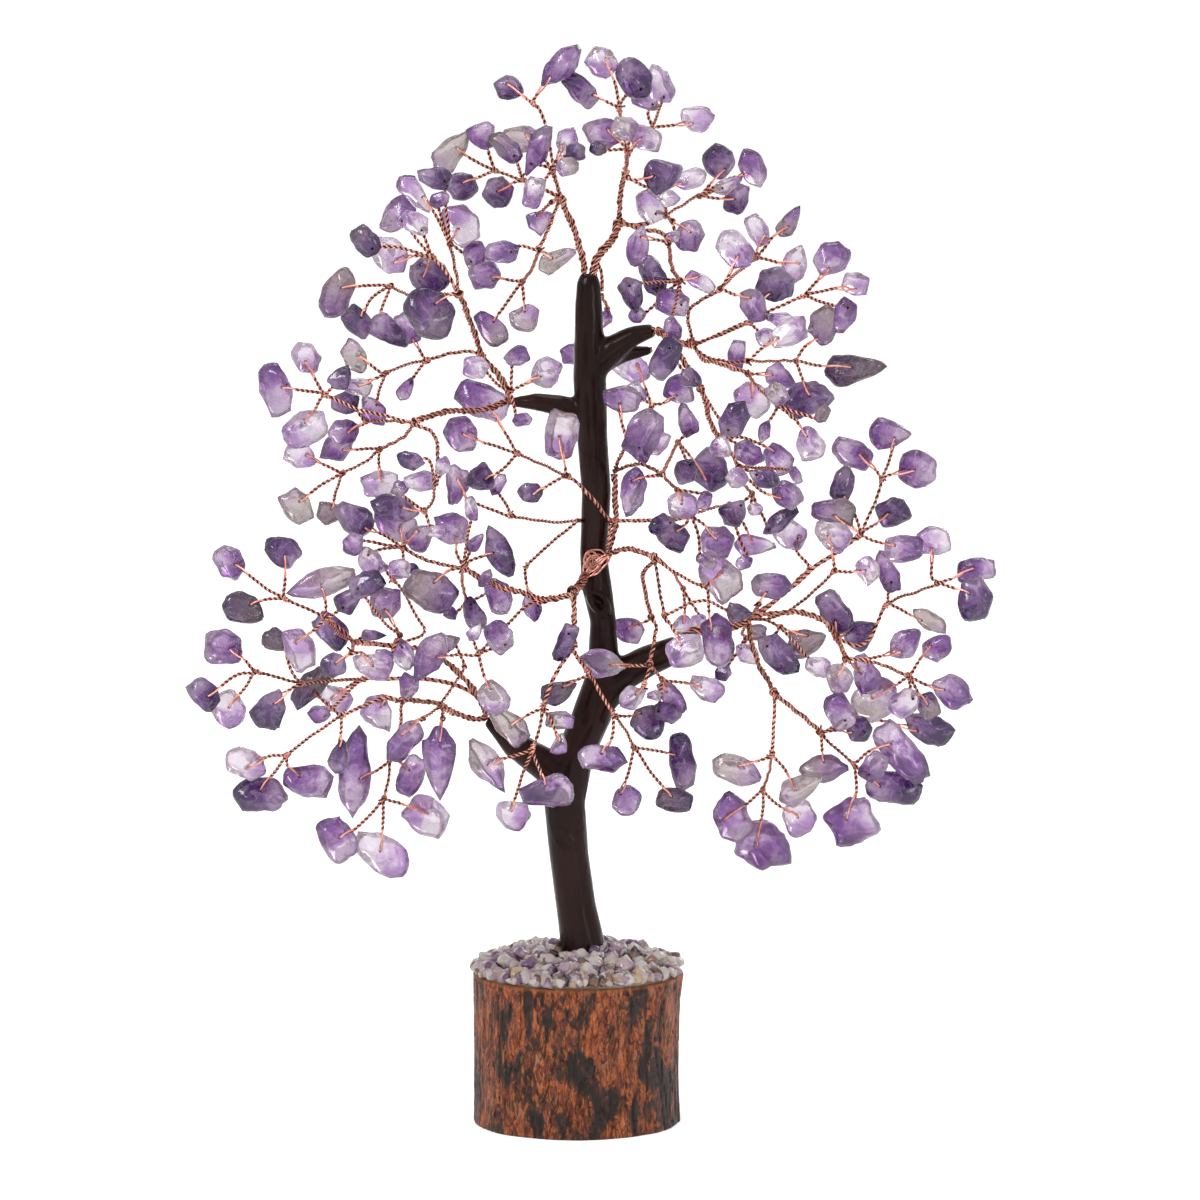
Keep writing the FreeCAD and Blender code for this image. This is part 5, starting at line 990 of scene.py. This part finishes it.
def makeRosette():
    low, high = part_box("rosette_coil")
    middle = np.array((low + high) / 2)
    outer = (high.x - low.x + high.z - low.z) / 4 / mm * rosetteLook["spread"]
    depth = (high.y - low.y) / mm
    rand = random.Random(5)
    maker = MeshMaker()

    def lay(path, inward, shade):
        sway = np.array([noise.noise_vector(Vector(p * 0.5) + Vector((0, 9.0, path[0][0]))) for p in path])
        path = path + sway * rosetteLook["sway"]
        path[:, 1] = np.clip(path[:, 1], -depth * 0.62, depth * 0.5)
        addTube(maker, middle + path * mm, inward, shade)
    for k in range(rosetteLook["loops"]):
        share = (k + 0.5) / rosetteLook["loops"]
        turns = rand.uniform(*rosetteLook["turns"])
        at = np.linspace(0, 1, int(turns * 30))
        angle = rand.uniform(0, 6.28) - fullTurn * turns * at
        radius = (rosetteLook["small"] + (outer - rosetteLook["small"]) * share) * (1 - 0.25 * at * rand.random())
        flat, lean = rand.uniform(*rosetteLook["flat"]), rand.uniform(0, math.pi)
        x, z = np.cos(angle) * radius, np.sin(angle) * radius * flat
        x, z = x * math.cos(lean) - z * math.sin(lean), x * math.sin(lean) + z * math.cos(lean)
        y = (rand.uniform(-0.25, 0.35) + 0.22 * np.sin(angle + lean)) * depth
        x = x + rand.uniform(*rosetteLook["asideX"])
        path = np.stack([x, y, z + rand.uniform(*rosetteLook["asideZ"])], 1)
        # shade painted on each loop's inner and back side, and over the whole of the inner loops
        inward = np.stack([-np.cos(angle) * 0.5, np.full(len(at), 0.7), -np.sin(angle) * 0.5], 1)
        lay(path, inward, 0.6 * (1 - share))
    (rightX, rightZ), (leftX, leftZ) = rosetteLook["right"], rosetteLook["left"]
    at = np.linspace(0, 1, 34)
    arch = np.sin(at * math.pi)
    for k in range(rosetteLook["through"]):
        bow = rand.uniform(-rosetteLook["bow"], rosetteLook["bow"])
        x = rightX + (leftX - rightX) * at + bow * 0.75 * arch + 0.35 * math.sin(k * 2.0)
        z = rightZ + (leftZ - rightZ) * at - bow * arch + 0.35 * math.cos(k * 2.0)
        y = -depth * (0.25 + 0.35 * np.sin(at * math.pi + k))
        # shade painted on the back side of the strands across the knot
        lay(np.stack([x, y, z], 1), np.tile([0, 0.8, 0], (len(at), 1)), 0.0)
    maker.build("rosette_wires", "rosette_coil")


tieLook = {"turns": 2.6, "length": 2.4, "sway": 0.35, "bulge": 0.12}


# a tie goes round the stem nearest to its solid
def makeTies():
    maker = MeshMaker()
    for k, (points, faces) in enumerate(looseSolids("tie_windings")):
        centre = (points.max(0) + points.min(0)) / 2
        best = None
        for line, size in (stem for _, _, stems in layout.values() for stem in stems):
            for a, b in zip(line, line[1:]):
                share = np.clip((centre - a) @ (b - a) / ((b - a) @ (b - a)), 0, 1)
                spot = a + (b - a) * share
                gap = np.linalg.norm(spot - centre)
                if best is None or gap < best[0]:
                    best = (gap, spot, (b - a) / np.linalg.norm(b - a), size)
        _, middle, way, size = best
        at = np.linspace(-0.5, 0.5, int(tieLook["turns"] * 26))
        angle = fullTurn * tieLook["turns"] * at
        sway = np.array([noise.noise(Vector((a * 0.7, k * 3.0, 1.5))) for a in angle])
        out = around(angle, *acrossWay(way, [0, 1, 0]))
        reach = size * wireLook["slim"] / 2 + tieLook["bulge"] * mm * sway
        path = middle + way * ((at * tieLook["length"] + sway * tieLook["sway"]) * mm)[:, None] + out * reach[:, None]
        # shade painted lightly on the side towards the stem
        addTube(maker, path, -out * 0.5)
    maker.build("tie_wires", "tie_windings")


makeTrunkWires()
makeRosette()
makeTies()
print("trunk wires made")


# log: bark with cracks and plates inside the CAD outline; lengths in millimetres
logLook = {"around": 320, "rows": 120, "relief": 0.8, "deepest": 1.25, "rim": 0.6, "cutRim": 1.1, "waist": 1.5,
           "faceRings": (0.985, 0.9, 0.6, 0.3)}


# how deep the bark lies at an angle and height
def barkDepth(angle, z):
    x, y = math.cos(angle) * 29, math.sin(angle) * 29
    plates = noise.fractal(Vector((x * 0.16, y * 0.16, z / mm * 0.05)), 1.0, 2.0, 3)
    crack = abs(noise.noise(Vector((x * 0.33 + 9, y * 0.33, z / mm * 0.075 + plates * 0.5))))
    crack = max(0.0, 1 - crack / 0.16)
    chips = noise.noise(Vector((x * 0.8, y * 0.8, z / mm * 0.35 + 4)))
    depth = 0.28 - 0.30 * plates + 0.55 * crack ** 1.4 + 0.13 * chips
    return min(logLook["deepest"], max(0.0, depth)) * logLook["relief"] * mm


def makeLog():
    points, _ = looseSolids("log_base")[0]
    top = points[:, 2].max()
    outer = points[np.hypot(points[:, 0], points[:, 1]) > 20 * mm]
    level = outer[np.abs(outer[:, 2] - outer[outer[:, 2] > top * 0.6][:, 2].min()) < 1e-5]
    angles = np.arctan2(level[:, 1], level[:, 0])
    order = np.argsort(angles)
    count, rows = logLook["around"], logLook["rows"]
    turn = np.arange(count) * fullTurn / count - math.pi
    radius = np.interp(turn, angles[order], np.hypot(level[:, 0], level[:, 1])[order], period=fullTurn)
    spread, tint = [], []
    for z in [0, *np.linspace(0.25 * mm, top - 0.25 * mm, rows - 2), top]:
        edge = min(1, min(z, top - z) / (logLook["rim"] * mm))
        inset = logLook["rim"] * mm * (1 - math.sqrt(max(0, 1 - (1 - edge) ** 2))) * 0.8
        waist = (1 - math.exp(-(top - z) / (9 * mm))) * (1 - 0.5 * math.exp(-z / (8 * mm))) * logLook["waist"] * mm
        rim = max(0.0, 1 - (top - z) / (logLook["cutRim"] * mm))
        for a, reach in zip(turn, radius):
            depth = barkDepth(a, z)
            out = reach - depth - inset - max(0.0, math.cos(a)) ** 1.4 * waist
            spread.append((math.cos(a) * out, math.sin(a) * out, z))
            tint.append((min(1, depth / mm), 0, rim, 1))
    quads, tris = [gridFaces(rows, count)], []
    # sawn faces, in rings to the middle
    for base, z, turned in ((0, 0.0, -1), ((rows - 1) * count, top, 1)):
        ring = np.arange(count) + base
        for share in logLook["faceRings"]:
            fresh = np.arange(count) + len(spread)
            spread += [(x * share, y * share, z) for x, y, _ in spread[base:base + count]]
            quads.append(band(ring, fresh, turned))
            ring = fresh
        tris.append(fan(ring, len(spread), turned))
        spread.append((0, 0, z))
    tint += [(0, 1, 0.0, 1)] * (len(spread) - len(tint))
    maker = MeshMaker()
    maker.add(spread, np.concatenate(quads), np.concatenate(tris), tint)
    maker.build("bark_log", "log_base")
    print("log made:", len(spread), "points")


makeLog()


# gravel: every CAD grain is drawn larger, and more like it are strewn over the bed out to the log's rim
gravelLook = {"big": (1.12, 1.45), "strewn": 12, "nearRim": 3, "strewnSize": (0.72, 1.22), "rim": 29.9,
              "atRim": 25.0, "inner": 6.2, "pile": 3.08, "bed": (4.6, 0.8, 26.8), "tip": (-1.5, 1.5),
              "tipCad": (-0.35, 0.35), "stretch": ((0.95, 1.4), (0.8, 1.1), (0.65, 0.95))}


# how high the glue bed stands at a distance from the middle, all in millimetres
def bedAt(far):
    middle, fall, edge = gravelLook["bed"]
    return middle * (1 - fall * min(1.0, far / edge) ** 2)


def spinAbout(a, tip):
    turn = np.array([[math.cos(a), -math.sin(a), 0], [math.sin(a), math.cos(a), 0], [0, 0, 1]])
    tilt = np.array([[1, 0, 0], [0, math.cos(tip), -math.sin(tip)], [0, math.sin(tip), math.cos(tip)]])
    return turn @ tilt


def makeGravel(node, seed):
    rand, look = random.Random(seed), gravelLook
    maker = MeshMaker()
    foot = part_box("log_base")[1].z
    for points, faces in looseSolids(node):
        centre = (points.max(0) + points.min(0)) / 2
        reach = (points.max(0) - points.min(0)) / 2
        grains = [(centre, rand.uniform(*look["big"]))]
        for k in range(look["strewn"]):
            a, size = rand.uniform(0, fullTurn), rand.uniform(*look["strewnSize"])
            inner = look["atRim"] if k < look["nearRim"] else look["inner"]
            far = math.sqrt(rand.uniform(inner ** 2, (look["rim"] - size * reach[:2].mean() / mm) ** 2))
            lift = reach[2] * size * rand.uniform(0.35, 0.7) + rand.random() * look["pile"] * mm * (1 - far / 27)
            spot = np.array([math.cos(a) * far * mm, math.sin(a) * far * mm, foot + bedAt(far) * mm + lift])
            grains.append((spot, size))
        for place, size in grains:
            a = rand.uniform(0, 6.28)
            tip = rand.uniform(*look["tipCad"] if place is centre else look["tip"])
            stretch = np.array([rand.uniform(*share) for share in look["stretch"]])
            moved = ((points - centre) * stretch * size) @ spinAbout(a, tip).T + place
            body = StoneBody(moved, faces, grainLook, round(rand.uniform(0, 900), 3))
            addStone(maker, body, grainLook, body.centre, np.array([0, 0.2, 0.98]))
    maker.build(node + "_grains", node)


for k, node in enumerate(sorted(n for n in frame["nodes"] if n.startswith("gravel_"))):
    makeGravel(node, 11 + k)
print("gravel made")


# white floor and backdrop that keep the object's shadow; each lamp's size, energy, place and the height it aims at
studioLook = {"floor": 0.94, "floorGlow": 0.64, "world": 0.42, "lamps": {
    "key_light": (0.5, 12.0, (-1.1, -1.4, 1.3), 0.15), "fill_light": (0.5, 4.0, (1.15, -1.4, 0.45), 0.15),
    "top_light": (0.7, 6.5, (0.1, 0.2, 1.9), 0.15), "rim_light": (0.6, 5.0, (0.9, 1.5, 1.0), 0.16)}}


def aimAt(thing, place, aim):
    thing.location = place
    thing.rotation_euler = (Vector(aim) - Vector(place)).to_track_quat("-Z", "Y").to_euler()
    bpy.context.scene.collection.objects.link(thing)


# 1 for rays that see a thing directly, in a reflection or through a stone
def directRay(wiring):
    ray = wiring.add("LightPath").outputs
    return wiring.calc("MAXIMUM", ray["Is Camera Ray"],
                       wiring.calc("MAXIMUM", ray["Is Glossy Ray"], ray["Is Transmission Ray"]))


def makeStudio():
    world = bpy.data.worlds.new("white_room")
    bpy.context.scene.world = world
    world.use_nodes = True
    world.node_tree.nodes.clear()
    wiring = Wiring(world.node_tree)
    shown = wiring.add("Background", Color=(1, 1, 1), Strength=1.0)
    light = wiring.add("Background", Color=(1, 1, 1), Strength=studioLook["world"])
    mix = wiring.inOrder(wiring.add("MixShader"), directRay(wiring), light.outputs[0], shown.outputs[0])
    wiring.feed(wiring.add("OutputWorld").inputs[0], mix)
    bpy.ops.mesh.primitive_plane_add(size=8, location=(0, 0, 0))
    floor = bpy.context.object
    floor.name = "floor"
    paint = Paint("white_floor")
    glow = paint.calc("MULTIPLY", directRay(paint), studioLook["floorGlow"])
    paint.set(Base_Color=(studioLook["floor"],) * 3, Roughness=0.9, Specular_IOR_Level=0.0,
              Emission_Color=(1, 1, 1), Emission_Strength=glow)
    floor.data.materials.append(materials["white_floor"])
    for name, (size, energy, place, height) in studioLook["lamps"].items():
        data = bpy.data.lights.new(name, "AREA")
        data.shape, data.size, data.energy = "SQUARE", size, energy
        aimAt(bpy.data.objects.new(name, data), place, (0, 0, height))


makeStudio()

cameraLook = {"place": (0.006, -3.0, 0.5614), "aim": (0.006, 0.0, 0.143), "lens": 336.6, "sensor": 36}
cameraData = bpy.data.cameras.new("camera")
cameraData.lens, cameraData.sensor_width = cameraLook["lens"], cameraLook["sensor"]
camera = bpy.data.objects.new("camera", cameraData)
aimAt(camera, cameraLook["place"], cameraLook["aim"])
bpy.context.scene.camera = camera
bpy.context.scene.view_settings.view_transform = "Standard"
print("studio and camera set")
